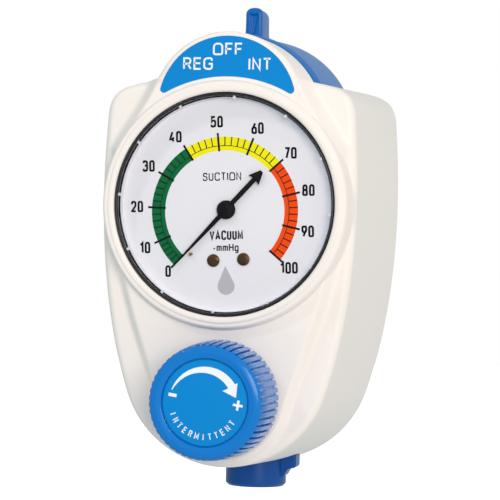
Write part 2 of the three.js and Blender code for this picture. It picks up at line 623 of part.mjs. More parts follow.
function buildRegulator(unit) {
  const group = new THREE.Group();
  group.position.z = KNOB_Z;
  unit.add(group);
  addPiece(group, "regulating_knob", regulatingKnob(), blue);
  addPiece(group, "knob_label", turned([[0, -19.9], [12.3, -19.9], [12.6, -19.8], [12.6, -19.45], [0, -19.45]], 36), labelBlue);
  addPiece(group, "knob_screw", union(rod(2.8, -19.2, -17.3, 14), rod(1.35, -17.4, -9, 10)), steel);

  const ridges = Array.from({ length: 5 }, (_, i) => [[2.9, 13.6 + 2 * i], [2.9, 14.6 + 2 * i], [2.4, 15 + 2 * i], [2.4, 15.2 + 2 * i]]).flat();
  const stem = turned([
    [0, -15.2], [2.75, -15.2], [2.75, 10.9], [5, 10.9], [5, 12.4], [2.9, 12.4], ...ridges, [2.3, 25.4], [0, 25.4],
  ], 14);
  addPiece(group, "regulating_screw", cut(stem, rod(1.5, -20, -8, 10)), steel);
  addPiece(group, "panel_bush", turned([
    [3, 3.3], [4.9, 3.3], [4.9, 9.1], [8, 9.1], [8, 10.6], [3, 10.6],
  ], 14), brass);

  addPiece(group, "spring_carrier", turned([
    [3.1, 16], [9.8, 16], [9.8, 18.4], [5, 18.4], [5, 20.4], [3.1, 20.4],
  ], 14), brass);
  addPiece(group, "regulating_spring", spring(7, 0.8, 18.6, 28, 4), steel);
  addPiece(group, "spring_bonnet", turned([
    [3.4, 12.7], [8, 12.7], [12.6, 15], [12.6, 25.6], [16.4, 25.6], [16.4, 29.3], [10.8, 29.3], [10.8, 15.4], [3.4, 15.4],
  ]), grey);
  addPiece(group, "diaphragm_plate", turned([[0, 28.1], [9.4, 28.1], [9.4, 28.9], [0, 28.9]], 14), steel);
  addPiece(group, "diaphragm", rod(16.2, 29.38, 29.85, 22), rubber);
  addPiece(group, "valve_seat", tube(1.9, 4.7, 36, 40, 14), brass);
  addPiece(group, "valve_poppet", union(rod(1.3, 30, 41, 10), rod(3.3, 40.2, 42, 14)), rubber);
  addPiece(group, "poppet_spring", spring(2.6, 0.4, 42.2, 47.5, 4, 10), steel);
}

// ---------- manifold and ports ----------
function manifold() {
  const block = union(
    box(-20, 20, 30, 72, -68, 5),
    box(-8, 8, 30, 42, 4, DRUM_Z),
    at(rod(11, 30, 42, 22), 0, DRUM_Z),
    box(-29, 29, 30, 34, -53, -41),
    ...[-1, 1].map((side) => box(side * 12.8 - 2.2, side * 12.8 + 2.2, 44.4, 47.2, 4, 8.6)),
  );
  const chamber = at(union(rod(13, 29, 32.5, 22), rod(4.9, 30, 48.5, 14)), 0, KNOB_Z);
  const rotorBore = at(union(rod(8.3, 32.6, 45, 22), rod(3.3, 20, 40, 14)), 0, DRUM_Z);
  const gaugePort = at(rod(5, 20, 36, 14), 0, DIAL_Z - 16);
  const rearPort = rod(7.4, 64, 80, 14);
  const supply = rod(2.5, 50, 70, 10);
  const outlet = shift(turnedZ([[0, -80], [5.3, -80], [5.3, -58], [0, -58]], 14), 0, OUTLET_Y, 0);
  const screwHoles = [-1, 1].map((side) => at(rod(1.7, 20, 40, 10), side * 24.5, -47));
  return cut(block, chamber, rotorBore, gaugePort, rearPort, supply, outlet, ...screwHoles);
}

function buildManifold(unit) {
  const group = new THREE.Group();
  unit.add(group);
  addPiece(group, "manifold_block", manifold(), grey);
  ["left", "right"].forEach((side, i) => {
    const screw = at(union(rod(3, 34.3, 36.3, 14), rod(1.2, 22, 34.4, 10)), (2 * i - 1) * 24.5, -47);
    addPiece(group, `manifold_screw_${side}`, screw, steel);
  });
  const hex = plate(new THREE.Shape(
    Array.from({ length: 6 }, (_, i) => new THREE.Vector2(...polar(8.1, 60 * i))),
  ), 72.3, DEPTH);
  const barrel = union(rod(7, 64.6, 73, 22), hex);
  addPiece(group, "rear_port", cut(barrel, rod(4.35, 66.5, 90, 14), rod(2, 60, 70, 10)), brass);
  addPiece(group, "inlet_filter", rod(4, 66.8, 68.4, 14), steel);
}

function buildOutlet(unit) {
  const group = new THREE.Group();
  group.position.y = OUTLET_Y;
  unit.add(group);
  const nozzle = turnedZ([
    [1.9, -59], [5, -59], [5, -73.2], [7.6, -73.2], [7.6, -75.4], [5, -75.4], [5, -81.4], [4.1, -81.4], [4.1, -82.2],
    [5, -82.2], [5, -82.6], [3.3, -82.8], [3.3, -83.2], [2.8, -83.2], [2.8, -84.1], [3.3, -84.1], [3, -84.6], [1.9, -84.6],
  ], 14);
  addPiece(group, "outlet_nozzle", nozzle, brass);
  addPiece(group, "outlet_o_ring", turnedZ(ringSection(3.35, 0.4, -83.65), 14), rubber);
  addPiece(group, "collar_clip", turnedZ([[4.25, -81.55], [6.6, -81.55], [6.6, -82.05], [4.25, -82.05]], 14), steel);

  const cup = turnedZ([
    [5.3, COLLAR_TOP], [COLLAR_R - 0.4, COLLAR_TOP], [COLLAR_R, COLLAR_TOP - 0.4], [COLLAR_R, COLLAR_BOTTOM + 0.8],
    [COLLAR_R - 0.8, COLLAR_BOTTOM], [8.2, COLLAR_BOTTOM], [8.2, -81.2], [5.3, -81.2],
  ], 36);
  const tab = union(
    box(6, 13, -4, 4, -83.2, COLLAR_TOP),
    box(12, 13.8, -3.2, 3.2, -82.6, COLLAR_TOP - 0.5),
  );
  const hollow = turnedZ([[0, -95], [8.2, -95], [8.2, -81.2], [0, -81.2]], 36);
  const lugs = [0, 180].map((turn) =>
    turnedZ([[7, -87.6], [8.4, -87.6], [8.4, -86], [7, -86]], 36)
      .intersect(box(-3, 3, 0, 12, -95, -80))
      .rotate([0, 0, turn]),
  );
  addPiece(group, "lock_collar", union(cut(union(cup, tab), hollow), ...lugs), blue);
}

// ---------- intermittent timer ----------
function buildTimer(unit) {
  const group = new THREE.Group();
  unit.add(group);
  const body = box(-31.5, -20.6, 38, 66, -42, -10);
  const needleBores = NEEDLE_Z.map((z) => at(rod(2.2, 52, 70, 14), NEEDLE_X, z));
  const spigot = (x, y, z0, z1) => shift(turnedZ([[0, z0], [1.6, z0], [1.6, z1], [0, z1]], 10), x, y, 0);
  addPiece(group, "timer_body", cut(union(body, spigot(-26, 45, -11, -6)), ...needleBores), grey);
  addPiece(group, "timing_chamber", shift(turnedZ([
    [0, -40], [5, -40], [5, -12], [3.4, -9], [0, -9],
  ], 14), 26, 52, 0), grey);
  ["on", "off"].forEach((phase, i) => {
    const needle = turned([
      [0, 53], [0.4, 55], [1.9, 58], [1.9, 74.6], [2.7, 74.6], [2.7, 78.4], [2.3, 78.9], [0, 78.9],
    ], 14);
    const slot = box(-3, 3, 78, 80, -0.35, 0.35);
    addPiece(group, `${phase}_time_needle`, at(cut(needle, slot), NEEDLE_X, NEEDLE_Z[i]), brass);
  });
  const route = new THREE.CatmullRomCurve3([
    new THREE.Vector3(-26, 45, -5.4),
    new THREE.Vector3(-26, 45, -2),
    new THREE.Vector3(-24.5, 43, 4),
    new THREE.Vector3(-20, 39.5, 9.5),
    new THREE.Vector3(-15.5, 37, 13),
    new THREE.Vector3(-12.8, 36, 18),
    new THREE.Vector3(-12.8, 36, 21),
  ]);
  addPiece(group, "timer_tube", wire(route, 1.6, 16, 8), clearTube);
}

// ---------- assembly ----------
const model = new THREE.Group();
const unit = new THREE.Group();
unit.position.y = -DEPTH;
model.add(unit);

const housing = new THREE.Group();
unit.add(housing);
addPiece(housing, "front_cover", frontCover(), white);
addPiece(housing, "back_plate", backPlate(), white);
addPiece(housing, "legend_plate", plate(legendOutline(), DOME_Y, DOME_Y + 0.5, 0, 10), labelBlue);
SCREW_SPOTS.forEach(([x, z], i) => {
  addPiece(housing, `cover_screw_${i + 1}`, at(coverScrew(), x, z), steel);
});
buildGauge(unit);
buildSelector(unit);
buildRegulator(unit);
buildManifold(unit);
buildOutlet(unit);
buildTimer(unit);

export default model;
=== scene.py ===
# Looks for the wall-mounted suction regulator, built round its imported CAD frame.
# Pieces are made in millimetres in the unit's own frame, where y = 0 is the front plane of the gauge's bezel
# and y grows to the rear. place() turns that into the frame's metres.
import json
import math

import bmesh
import bpy
import numpy as np
from mathutils import Matrix, Vector


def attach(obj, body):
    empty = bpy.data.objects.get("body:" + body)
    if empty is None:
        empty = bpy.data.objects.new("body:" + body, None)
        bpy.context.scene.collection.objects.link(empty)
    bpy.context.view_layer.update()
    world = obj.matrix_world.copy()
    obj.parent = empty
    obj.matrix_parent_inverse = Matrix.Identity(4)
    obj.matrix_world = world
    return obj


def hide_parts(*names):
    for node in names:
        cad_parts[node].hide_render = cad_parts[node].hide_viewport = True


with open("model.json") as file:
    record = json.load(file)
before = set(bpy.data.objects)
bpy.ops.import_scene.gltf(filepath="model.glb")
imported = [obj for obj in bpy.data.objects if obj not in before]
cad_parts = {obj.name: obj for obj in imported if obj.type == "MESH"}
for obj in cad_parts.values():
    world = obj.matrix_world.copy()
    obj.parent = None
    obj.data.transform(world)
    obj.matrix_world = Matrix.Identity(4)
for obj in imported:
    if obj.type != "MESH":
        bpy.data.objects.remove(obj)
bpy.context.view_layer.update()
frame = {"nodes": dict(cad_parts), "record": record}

# ---------- sizes, in millimetres, as in the CAD ----------
DEPTH = 80.0
HALF_WIDTH, HALF_HEIGHT, MIDDLE_Z, DRAFT = 39.0, 58.5, -20.5, 3.3
SHOULDER_Y, EDGE_ROUND, WALL = 6.5, 2.4, 2.5
DOME_Z, DOME_R, DOME_TOP, DOME_Y, DOME_BACK, DOME_FLARE = 29.4, 22.5, 51.9, 1.5, 12.7, 0.25
GAUGE_HOLE_R = 33.6
DIAL_Y, DIAL_Z, DIAL_TURN = 5.0, -1.5, 3.5
SCALE_START = -134.0
KNOB_Z, KNOB_R, KNOB_FLUTES = -58.1, 17.8, 50
DRUM_Z, DRUM_FRONT, DRUM_BACK, DRUM_R_FRONT, DRUM_R_BACK = 24.5, 13.2, 60.0, 27.6, 30.6
LEVER_TOP, LEVER_HALF = 63.9, 2.65
OUTLET_Y, COLLAR_R, COLLAR_TOP, COLLAR_BOTTOM = 62.0, 9.8, -78.7, -89.2
SEAT_R, SEAT_Z = 14.3, -78.3
TAU = 2 * math.pi


# ---------- camera ----------
def add_camera():
    data = bpy.data.cameras.new("camera")
    data.lens, data.sensor_width = 156.44, 36.0
    data.clip_start, data.clip_end = 0.05, 20
    cam = bpy.data.objects.new("camera", data)
    bpy.context.scene.collection.objects.link(cam)
    right = Vector((0.98126406, 0.19132056, 0.02274392))
    up = Vector((-0.02047102, -0.01384846, 0.99969453))
    back = right.cross(up)
    turn = Matrix((right, up, back)).transposed().to_4x4()
    spot = Vector((0.13215, -0.63375 - DEPTH / 1000, -0.0197))
    cam.matrix_world = Matrix.Translation(spot) @ turn
    bpy.context.scene.camera = cam


add_camera()


# ---------- meshes ----------
def place(points):
    """Unit millimetres to row metres."""
    p = np.asarray(points, float).copy()
    p[..., 1] -= DEPTH
    return p / 1000


def new_object(name, verts, faces, material, smooth_angle=35.0, weld=True):
    mesh = bpy.data.meshes.new(name)
    corners = [tuple(v) for v in place(verts).reshape(-1, 3)]
    mesh.from_pydata(corners, [], [tuple(int(i) for i in f) for f in faces])
    mesh.validate()
    obj = bpy.data.objects.new(name, mesh)
    bpy.context.scene.collection.objects.link(obj)
    if material:
        mesh.materials.append(material)
    shade(mesh, smooth_angle, weld)
    return obj


def shade(mesh, angle, weld=True):
    """Smooth shading that breaks where faces meet at more than the angle."""
    bm = bmesh.new()
    bm.from_mesh(mesh)
    if weld:
        bmesh.ops.remove_doubles(bm, verts=bm.verts, dist=1e-6)
        bmesh.ops.recalc_face_normals(bm, faces=bm.faces)
    limit = math.radians(angle)
    for f in bm.faces:
        f.smooth = True
    for e in bm.edges:
        e.smooth = len(e.link_faces) == 2 and e.calc_face_angle(0.0) < limit
    bm.to_mesh(mesh)
    bm.free()


def grid(name, points, material, close_rows=False, close_cols=False, smooth_angle=35.0, caps=False):
    """A mesh from an array of rows x cols points. caps closes the first and last rows with a face each."""
    rows, cols = points.shape[:2]
    row_steps = np.arange(rows if close_rows else rows - 1)
    col_steps = np.arange(cols if close_cols else cols - 1)
    i, j = np.meshgrid(row_steps, col_steps, indexing="ij")
    i2, j2 = (i + 1) % rows, (j + 1) % cols
    quads = np.stack([i * cols + j, i * cols + j2, i2 * cols + j2, i2 * cols + j], -1)
    faces = quads.reshape(-1, 4).tolist()
    if caps:
        faces += [list(range(cols)), list(range((rows - 1) * cols, rows * cols))]
    return new_object(name, points, faces, material, smooth_angle)


def lathe(name, profile, material, centre=(0, 0), segments=160, axis="y", **more):
    """Turns a list of (radius, height) about an axis along y at (x, z), or along z at (x, y)."""
    a = np.arange(segments) * TAU / segments
    prof = np.array(profile, float)
    r, h = prof[:, 0][:, None], prof[:, 1][:, None]
    u, v = r * np.cos(a), r * np.sin(a)
    h = np.broadcast_to(h, u.shape)
    if axis == "y":
        pts = np.stack([u + centre[0], h, v + centre[1]], -1)
    else:
        pts = np.stack([u + centre[0], v + centre[1], h], -1)
    return grid(name, pts, material, close_cols=True, **more)


def rounded(profile, radius, steps=5):
    """Rounds the corners of an open list of points, each with a radius of its own or a shared one."""
    pts = [np.array(p[:2], float) for p in profile]
    out = [pts[0]]
    for k in range(1, len(pts) - 1):
        r = profile[k][2] if len(profile[k]) > 2 else radius
        a, b, c = pts[k - 1], pts[k], pts[k + 1]
        la, lc = np.linalg.norm(a - b), np.linalg.norm(c - b)
        ua, uc = (a - b) / la, (c - b) / lc
        cosine = float(np.clip(ua @ uc, -1, 1))
        if r <= 0 or cosine < -0.9999:
            out.append(b)
            continue
        trim = min(r / math.tan(math.acos(cosine) / 2), 0.49 * la, 0.49 * lc)
        s, e = b + ua * trim, b + uc * trim
        for t in np.linspace(0, 1, steps + 1):
            out.append((1 - t) ** 2 * s + 2 * t * (1 - t) * b + t**2 * e)
    out.append(pts[-1])
    return [tuple(p) for p in out]


def round_over(into, r):
    """How far an edge of radius r falls back, at a distance into it from the side."""
    return r - math.sqrt(max(r**2 - (r - into) ** 2, 0)) if into < r else 0.0


def bezier(*controls, steps=24):
    t = np.linspace(0, 1, steps + 1)[:, None]
    c = [np.array(p, float) for p in controls]
    if len(c) == 3:
        return (1 - t) ** 2 * c[0] + 2 * t * (1 - t) * c[1] + t**2 * c[2]
    return (1 - t) ** 3 * c[0] + 3 * t * (1 - t) ** 2 * c[1] + 3 * t**2 * (1 - t) * c[2] + t**3 * c[3]


def arc(cx, cz, r, a0, a1, steps=40):
    a = np.radians(np.linspace(a0, a1, steps + 1))
    return np.stack([cx + r * np.cos(a), cz + r * np.sin(a)], -1)


def mirrored(*parts):
    """A closed outline from the right half's stretches, top to bottom."""
    right = np.concatenate(parts)
    keep = np.concatenate([[True], np.linalg.norm(np.diff(right, axis=0), axis=1) > 1e-6])
    right = right[keep]
    left = right[1:-1][::-1] * [-1, 1]
    return np.concatenate([right, left])


BODY = mirrored(
    bezier((0, 39.2), (16, 39.2), (28, 36.7)),
    bezier((28, 36.7), (34.8, 35.3), (37.9, 33.4), (38.1, 26)),
    bezier((38.1, 26), (40.1, 0), (39.2, -29.6), (30.6, -56.4), steps=60),
    arc(0, -47, 32, -17, -90),
)
DOME_ARC = arc(0, DOME_Z, DOME_R, 90, 22.5)
DOME_SIDE = bezier((20.79, 38.01), (23.8, 30.6), (30.3, 22.4), (33.3, 16.1))
DOME = mirrored(DOME_ARC, DOME_SIDE, np.array([[33.3, 16.1], [0.0, 14.0]]))
# The part of the dome that stands above the housing's shoulders.
DOME_CAP = mirrored(DOME_ARC, DOME_SIDE[:12], np.array([[25.0, 26.0], [0.0, 26.0]]))
PANEL = mirrored(
    np.array([[0.0, -10.0], [32.8, -12.0]]),
    bezier((32.8, -12), (31, -27), (22.8, -47), (18.3, -63.2), steps=40),
    arc(0, KNOB_Z, 19, -15, -90),
)


def signed_distance(points, outline):
    """Distance to a closed outline, negative inside it."""
    p = points.reshape(-1, 2)
    a, b = outline, np.roll(outline, -1, axis=0)
    best = np.full(len(p), 1e18)
    inside = np.zeros(len(p), bool)
    for (ax, az), (bx, bz) in zip(a, b):
        ex, ez = bx - ax, bz - az
        wx, wz = p[:, 0] - ax, p[:, 1] - az
        t = np.clip((wx * ex + wz * ez) / max(ex * ex + ez * ez, 1e-12), 0, 1)
        best = np.minimum(best, (wx - t * ex) ** 2 + (wz - t * ez) ** 2)
        if az != bz:
            crosses = (az > p[:, 1]) != (bz > p[:, 1])
            inside ^= crosses & (p[:, 0] < ax + (p[:, 1] - az) * ex / ez)
    d = np.sqrt(best)
    return np.where(inside, -d, d).reshape(points.shape[:-1])


def reach(outline, angles):
    """How far out rays from the gauge's centre last cross a closed outline, or 0 where they miss it."""
    dx, dz = np.cos(angles), np.sin(angles)
    far = np.zeros(len(angles))
    for (ax, az), (bx, bz) in zip(outline, np.roll(outline, -1, axis=0)):
        ex, ez = bx - ax, bz - az
        across = dz * ex - dx * ez
        safe = np.where(np.abs(across) < 1e-9, 1.0, across)
        r, t = (az * ex - ax * ez) / safe, (dx * az - dz * ax) / safe
        hit = (np.abs(across) >= 1e-9) & (t >= -1e-9) & (t <= 1 + 1e-9) & (r > far)
        far = np.where(hit, r, far)
    return far


def smooth_min(a, b, k):
    h = np.maximum(k - np.abs(a - b), 0) / k
    return np.minimum(a, b) - h * h * k / 4


def drafted(points):
    """The mould's draft: x, y, z points grow towards the rear."""
    p = points.copy()
    growth = DRAFT * np.clip((p[..., 1] - 8) / (DEPTH - 8), 0, 1.2)
    p[..., 0] *= 1 + growth / HALF_WIDTH
    p[..., 2] = MIDDLE_Z + (p[..., 2] - MIDDLE_Z) * (1 + growth / HALF_HEIGHT)
    return p


def rounded_step(s, face, slope, r):
    """A raised face at depth face where s < 0, rounded over r, that falls away at slope where s > 0."""
    over = np.clip(s + r, 0, None)
    curve = slope * over**2 / (4 * r)
    return face + np.where(over < 2 * r, curve, slope * (over - r))


# The lip round the gauge, from its hole outwards: a rounded crest, a fine step, then a steep outer side.
LIP_RADII = [0, GAUGE_HOLE_R, 34.0, 34.6, 35.3, 35.6, 36.5, 36.9, 37.2, 37.5, 37.8, 38.1, 60]
LIP_DEPTHS = [0.15, 0.15, -0.2, -0.35, -0.35, -0.05, 0.0, 0.3, 0.9, 2.3, 4.0, 6.2, 99]


def face_depth(x, z):
    """Depth of the front cover's face: the body, with the dome, panel and gauge's lip raised on it."""
    spots = np.stack([x, z], -1)
    d = -signed_distance(spots, BODY)
    inner = np.clip(d, 0, EDGE_ROUND)
    edge = SHOULDER_Y + EDGE_ROUND - np.sqrt(np.maximum(EDGE_ROUND**2 - (EDGE_ROUND - inner) ** 2, 0))
    body = np.where(d < 0, SHOULDER_Y + EDGE_ROUND, edge) - 0.5 * np.clip((d - EDGE_ROUND) / 14, 0, 1) ** 2
    r = np.hypot(x, z)
    lip = np.interp(r, LIP_RADII, LIP_DEPTHS)
    dome = rounded_step(signed_distance(spots, DOME), DOME_Y, 1.6, 0.6)
    lean = np.maximum(0, -36 - z) * 0.05
    crown = 0.7 * np.clip(np.abs(x) / 30, 0, 1) ** 2
    panel = rounded_step(signed_distance(spots, PANEL), 2.4 + crown + lean, 1.7, 0.9)
    raised = smooth_min(dome, panel, 0.5)
    return smooth_min(smooth_min(body, raised, 1.6), lip, 0.45)


def front_cover(material):
    """The cover's face, in rings from the gauge's hole to the rim, then its outside, rear edge and inside."""
    n = 720
    angles = (np.arange(n) + 0.5) * TAU / n
    rim = reach(BODY, angles)
    foot = np.maximum.reduce([reach(DOME, angles), reach(PANEL, angles), np.full(n, 37.3)])
    foot = np.minimum(foot, rim)
    hole, lip_foot = np.full(n, GAUGE_HOLE_R), np.full(n, 38.4)
    stops = [hole, lip_foot, foot - 1.8, foot + 3.2, rim - EDGE_ROUND - 0.2, rim]
    # Rings between one stop and the next, closest where the face bends.
    counts = [22, 10, 24, 10, 26]
    rows = [hole]
    for k, count in enumerate(counts):
        lo, hi = np.maximum(stops[k], hole), np.minimum(stops[k + 1], rim)
        share = np.linspace(0, 1, count + 1)[1:]
        if k == len(counts) - 1:
            share = np.sin(share * math.pi / 2)
        for t in share:
            rows.append(lo + (hi - lo) * t)
    radii = np.maximum.accumulate(np.array(rows), axis=0) + 0.004 * np.arange(len(rows))[:, None]
    radii = hole + (radii - hole) * (rim - hole) / (radii[-1] - hole)
    x, z = radii * np.cos(angles), radii * np.sin(angles)
    face = np.stack([x, np.minimum(face_depth(x, z), SHOULDER_Y + EDGE_ROUND), z], -1)

    outline = face[-1].copy()
    rings = [face]
    start = face[-1, :, 1]
    for t in np.linspace(0, 1, 60)[1:]:
        ring = outline.copy()
        ring[:, 1] = start + (DEPTH - 0.6 - start) * t
        rings.append(ring[None])

    def inset(distance, y):
        ring = outline.copy()
        ring[:, 0] *= 1 - distance / HALF_WIDTH
        ring[:, 2] = MIDDLE_Z + (ring[:, 2] - MIDDLE_Z) * (1 - distance / HALF_HEIGHT)
        ring[:, 1] = y
        return ring[None]

    def circle(r, y):
        return np.stack([r * np.cos(angles), np.full(n, y), r * np.sin(angles)], -1)[None]

    rings += [inset(0.2, DEPTH - 0.15), inset(0.6, DEPTH), inset(WALL - 0.3, DEPTH), inset(WALL, DEPTH - 0.3)]
    rings += [inset(WALL, y) for y in (76, 60, 40, 20, SHOULDER_Y + WALL + 5)]
    rings += [circle(GAUGE_HOLE_R + 0.8, SHOULDER_Y + WALL + 3), circle(GAUGE_HOLE_R, SHOULDER_Y + WALL + 2)]
    # The last ring meets the first, so the shell is closed.
    points = drafted(np.concatenate(rings))
    return grid("front_cover_shell", points, material, close_rows=True, close_cols=True, smooth_angle=30)


def dome_cover(material):
    """The dome above the housing, from its face back to the selector drum."""
    n = len(DOME_CAP)
    # An inset of full_inset would shrink the outline to its centre. The rings stop just short of it.
    centre, full_inset, last_inset = np.array([0.0, 34.0]), 18, 17.9
    rounding, inside_inset, inside_y = 1.2, 2.4, 8

    def ring(inset, y, flare_y):
        p = centre + (DOME_CAP - centre) * (1 - inset / full_inset)
        scale = 1 + DOME_FLARE * (flare_y - DOME_Y) / (DOME_BACK - DOME_Y)
        return np.stack([p[:, 0] * scale, np.full(n, y), DOME_TOP + (p[:, 1] - DOME_TOP) * scale], -1)

    rows = [ring(t, DOME_Y + 0.02, DOME_Y) for t in (last_inset, 12, 8, 4, 2, rounding)]
    for k in range(1, 9):
        a = k / 8 * math.pi / 2
        drop = rounding * (1 - math.cos(a))
        rows.append(ring(rounding * (1 - math.sin(a)), DOME_Y + 0.02 + drop, DOME_Y + drop))
    for y in np.linspace(DOME_Y + 1.4, DOME_BACK - 0.3, 14)[1:]:
        rows.append(ring(0, y, y))
    rows += [ring(0.3, DOME_BACK, DOME_BACK), ring(2.2, DOME_BACK, DOME_BACK)]
    rows += [ring(inside_inset, inside_y, inside_y), ring(last_inset, inside_y, inside_y)]
    return grid("front_cover_dome", np.array(rows), material, close_cols=True, smooth_angle=30)


def cut_with(obj, cutter):
    """Takes the cutter out of a piece, and removes the cutter."""
    mod = obj.modifiers.new("cut", "BOOLEAN")
    mod.operation, mod.solver, mod.object = "DIFFERENCE", "EXACT", cutter
    graph = bpy.context.evaluated_depsgraph_get()
    mesh = bpy.data.meshes.new_from_object(obj.evaluated_get(graph))
    obj.modifiers.clear()
    old = obj.data
    obj.data = mesh
    bpy.data.meshes.remove(old)
    bpy.data.objects.remove(cutter)
    shade(mesh, 30)


def cone_between(name, y0, y1, r0, r1, z=0.0):
    return lathe(name, [(1e-3, y0), (r0, y0), (r1, y1), (1e-3, y1)], None, centre=(0, z), caps=True)


# ---------- materials ----------
class Nodes:
    """A small builder for one material's node tree."""

    def __init__(self, name):
        self.material = bpy.data.materials.new(name)
        self.material.use_nodes = True
        self.tree = self.material.node_tree
        self.shader = self.tree.nodes["Principled BSDF"]

    def add(self, kind, **values):
        node = self.tree.nodes.new(kind)
        for key, value in values.items():
            if key in node.inputs:
                node.inputs[key].default_value = value
            else:
                setattr(node, key, value)
        return node

    def link(self, source, target):
        self.tree.links.new(source, target)


def linear(r, g, b):
    """A colour given as it shows on screen, 0 to 255."""
    out = []
    for c in (r, g, b):
        c /= 255
        out.append(c / 12.92 if c <= 0.04045 else ((c + 0.055) / 1.055) ** 2.4)
    return (*out, 1.0)


def plastic(name, color, roughness, mottle=0.04, grain=900.0, bump=0.04, metal=0.0, shine=0.5):
    """Moulded or worked stock: a faint colour drift, uneven gloss and a fine grain."""
    n = Nodes(name)
    s = n.shader
    s.inputs["Metallic"].default_value = metal
    s.inputs["Specular IOR Level"].default_value = shine
    coords = n.add("ShaderNodeTexCoord")
    drift = n.add("ShaderNodeTexNoise", Scale=28.0, Detail=3.0)
    n.link(coords.outputs["Object"], drift.inputs["Vector"])
    ramp = n.add("ShaderNodeMix", data_type="RGBA")
    ramp.inputs[6].default_value = tuple(c * (1 - 2 * mottle) for c in color[:3]) + (1.0,)
    ramp.inputs[7].default_value = color
    spread = n.add("ShaderNodeMapRange")
    spread.inputs["From Min"].default_value = 0.35
    spread.inputs["From Max"].default_value = 0.65
    n.link(drift.outputs["Fac"], spread.inputs["Value"])
    n.link(spread.outputs["Result"], ramp.inputs[0])
    n.link(ramp.outputs[2], s.inputs["Base Color"])
    fine = n.add("ShaderNodeTexNoise", Scale=grain, Detail=2.0)
    n.link(coords.outputs["Object"], fine.inputs["Vector"])
    gloss = n.add("ShaderNodeMapRange")
    gloss.inputs["To Min"].default_value = roughness * 0.85
    gloss.inputs["To Max"].default_value = min(1.0, roughness * 1.2)
    n.link(fine.outputs["Fac"], gloss.inputs["Value"])
    n.link(gloss.outputs["Result"], s.inputs["Roughness"])
    if bump:
        b = n.add("ShaderNodeBump", Strength=bump, Distance=0.0002)
        n.link(fine.outputs["Fac"], b.inputs["Height"])
        n.link(b.outputs["Normal"], s.inputs["Normal"])
    return n.material


WHITE = plastic("housing_white", linear(243, 236, 229), 0.42, mottle=0.006, grain=1400, bump=0.02, shine=0.4)
BLUE = plastic("control_blue", linear(0, 118, 202), 0.13, mottle=0.01, grain=1200, bump=0.008, shine=0.3)
COLLAR_BLUE = plastic("collar_blue", linear(0, 74, 150), 0.3, mottle=0.03, grain=1200, bump=0.02, shine=0.28)
DEEP_BLUE = plastic("lever_blue", linear(0, 100, 176), 0.3, mottle=0.03, grain=1200, bump=0.02, shine=0.28)
LIP_BLUE = plastic("lip_blue", linear(0, 108, 190), 0.4, mottle=0.01, grain=1200, bump=0.01, shine=0.08)
# Painted sheen: the drum's skirt is the same blue plastic, lightened to a grey-blue where glare lies on it.
DRUM_SHEEN_BLUE = plastic("drum_blue_painted_sheen", linear(56, 120, 192), 0.42, mottle=0.02, grain=1200, bump=0.02, shine=0.5)
LABEL = plastic("label_film", linear(0, 133, 208), 0.5, mottle=0.015, grain=2500, bump=0.02, shine=0.12)
PRINT_WHITE = plastic("print_white", linear(236, 242, 248), 0.5, mottle=0.01, grain=2500, bump=0.01,
                      shine=0.2)
PRINT_BLACK = plastic("print_black", linear(14, 14, 20), 0.5, mottle=0.05, grain=2500, bump=0.01, shine=0.12)
PRINT_GREY = plastic("print_grey", linear(196, 197, 204), 0.55, mottle=0.03, grain=2500, bump=0.01, shine=0.2)
DIAL_WHITE = plastic("dial_white", linear(244, 244, 250), 0.5, mottle=0.01, grain=1800, bump=0.01, shine=0.2)
GREEN = plastic("band_green", linear(0, 112, 62), 0.5, mottle=0.02, grain=1800, bump=0.01, shine=0.1)
YELLOW = plastic("band_yellow", linear(255, 246, 16), 0.5, mottle=0.01, grain=1800, bump=0.01, shine=0.1)
ORANGE = plastic("band_orange", linear(255, 80, 8), 0.5, mottle=0.02, grain=1800, bump=0.01, shine=0.1)
LUG = plastic("lens_lug", linear(222, 222, 220), 0.25, mottle=0.03, grain=1800, bump=0.02)
BLACK = plastic("bezel_black", linear(20, 20, 30), 0.22, mottle=0.05, grain=900, bump=0.03)
RUBBER = plastic("rubber", linear(30, 30, 34), 0.75, mottle=0.06, grain=700, bump=0.08)
BRASS = plastic("brass", linear(176, 138, 78), 0.32, mottle=0.05, grain=1600, bump=0.04, metal=1.0)
DARK_BRASS = plastic("aged_brass", linear(96, 72, 46), 0.38, mottle=0.12, grain=1600, bump=0.05, metal=0.8)
STEEL = plastic("steel", linear(190, 192, 196), 0.28, mottle=0.03, grain=1600, bump=0.04, metal=1.0)
GREY = plastic("body_grey", linear(140, 146, 150), 0.5, mottle=0.03, grain=900, bump=0.06)
TUBING = plastic("tubing", linear(214, 222, 226), 0.3, mottle=0.02, grain=900, bump=0.02)


def lens_material():
    """A clear window, faintly uneven in its gloss."""
    n = Nodes("lens_clear")
    s = n.shader
    s.inputs["Base Color"].default_value = (0.02, 0.02, 0.02, 1)
    s.inputs["Alpha"].default_value = 0.04
    scratches = n.add("ShaderNodeTexNoise", Scale=40.0, Detail=3.0)
    coords = n.add("ShaderNodeTexCoord")
    n.link(coords.outputs["Object"], scratches.inputs["Vector"])
    gloss = n.add("ShaderNodeMapRange")
    gloss.inputs["To Min"].default_value = 0.02
    gloss.inputs["To Max"].default_value = 0.09
    n.link(scratches.outputs["Fac"], gloss.inputs["Value"])
    n.link(gloss.outputs["Result"], s.inputs["Roughness"])
    return n.material


LENS = lens_material()
SLOT_LOOKS = {
    "housing_white": WHITE, "control_blue": BLUE, "label_blue": LABEL, "bezel_black": BLACK,
    "lens_clear": LENS,
    "dial_white": DIAL_WHITE, "pointer_black": PRINT_BLACK, "brass": BRASS, "steel": STEEL, "rubber": RUBBER,
    "body_grey": GREY, "tube_clear": TUBING,
}
for entry in frame["record"]["subparts"]:
    node = frame["nodes"][entry["node"]]
    node.data.materials.clear()
    node.data.materials.append(SLOT_LOOKS[entry["material_slot"]])
    shade(node.data, 28, weld=False)


def finish_piece(obj, body, replaces=()):
    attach(obj, body)
    if replaces:
        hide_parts(*replaces)
    return obj


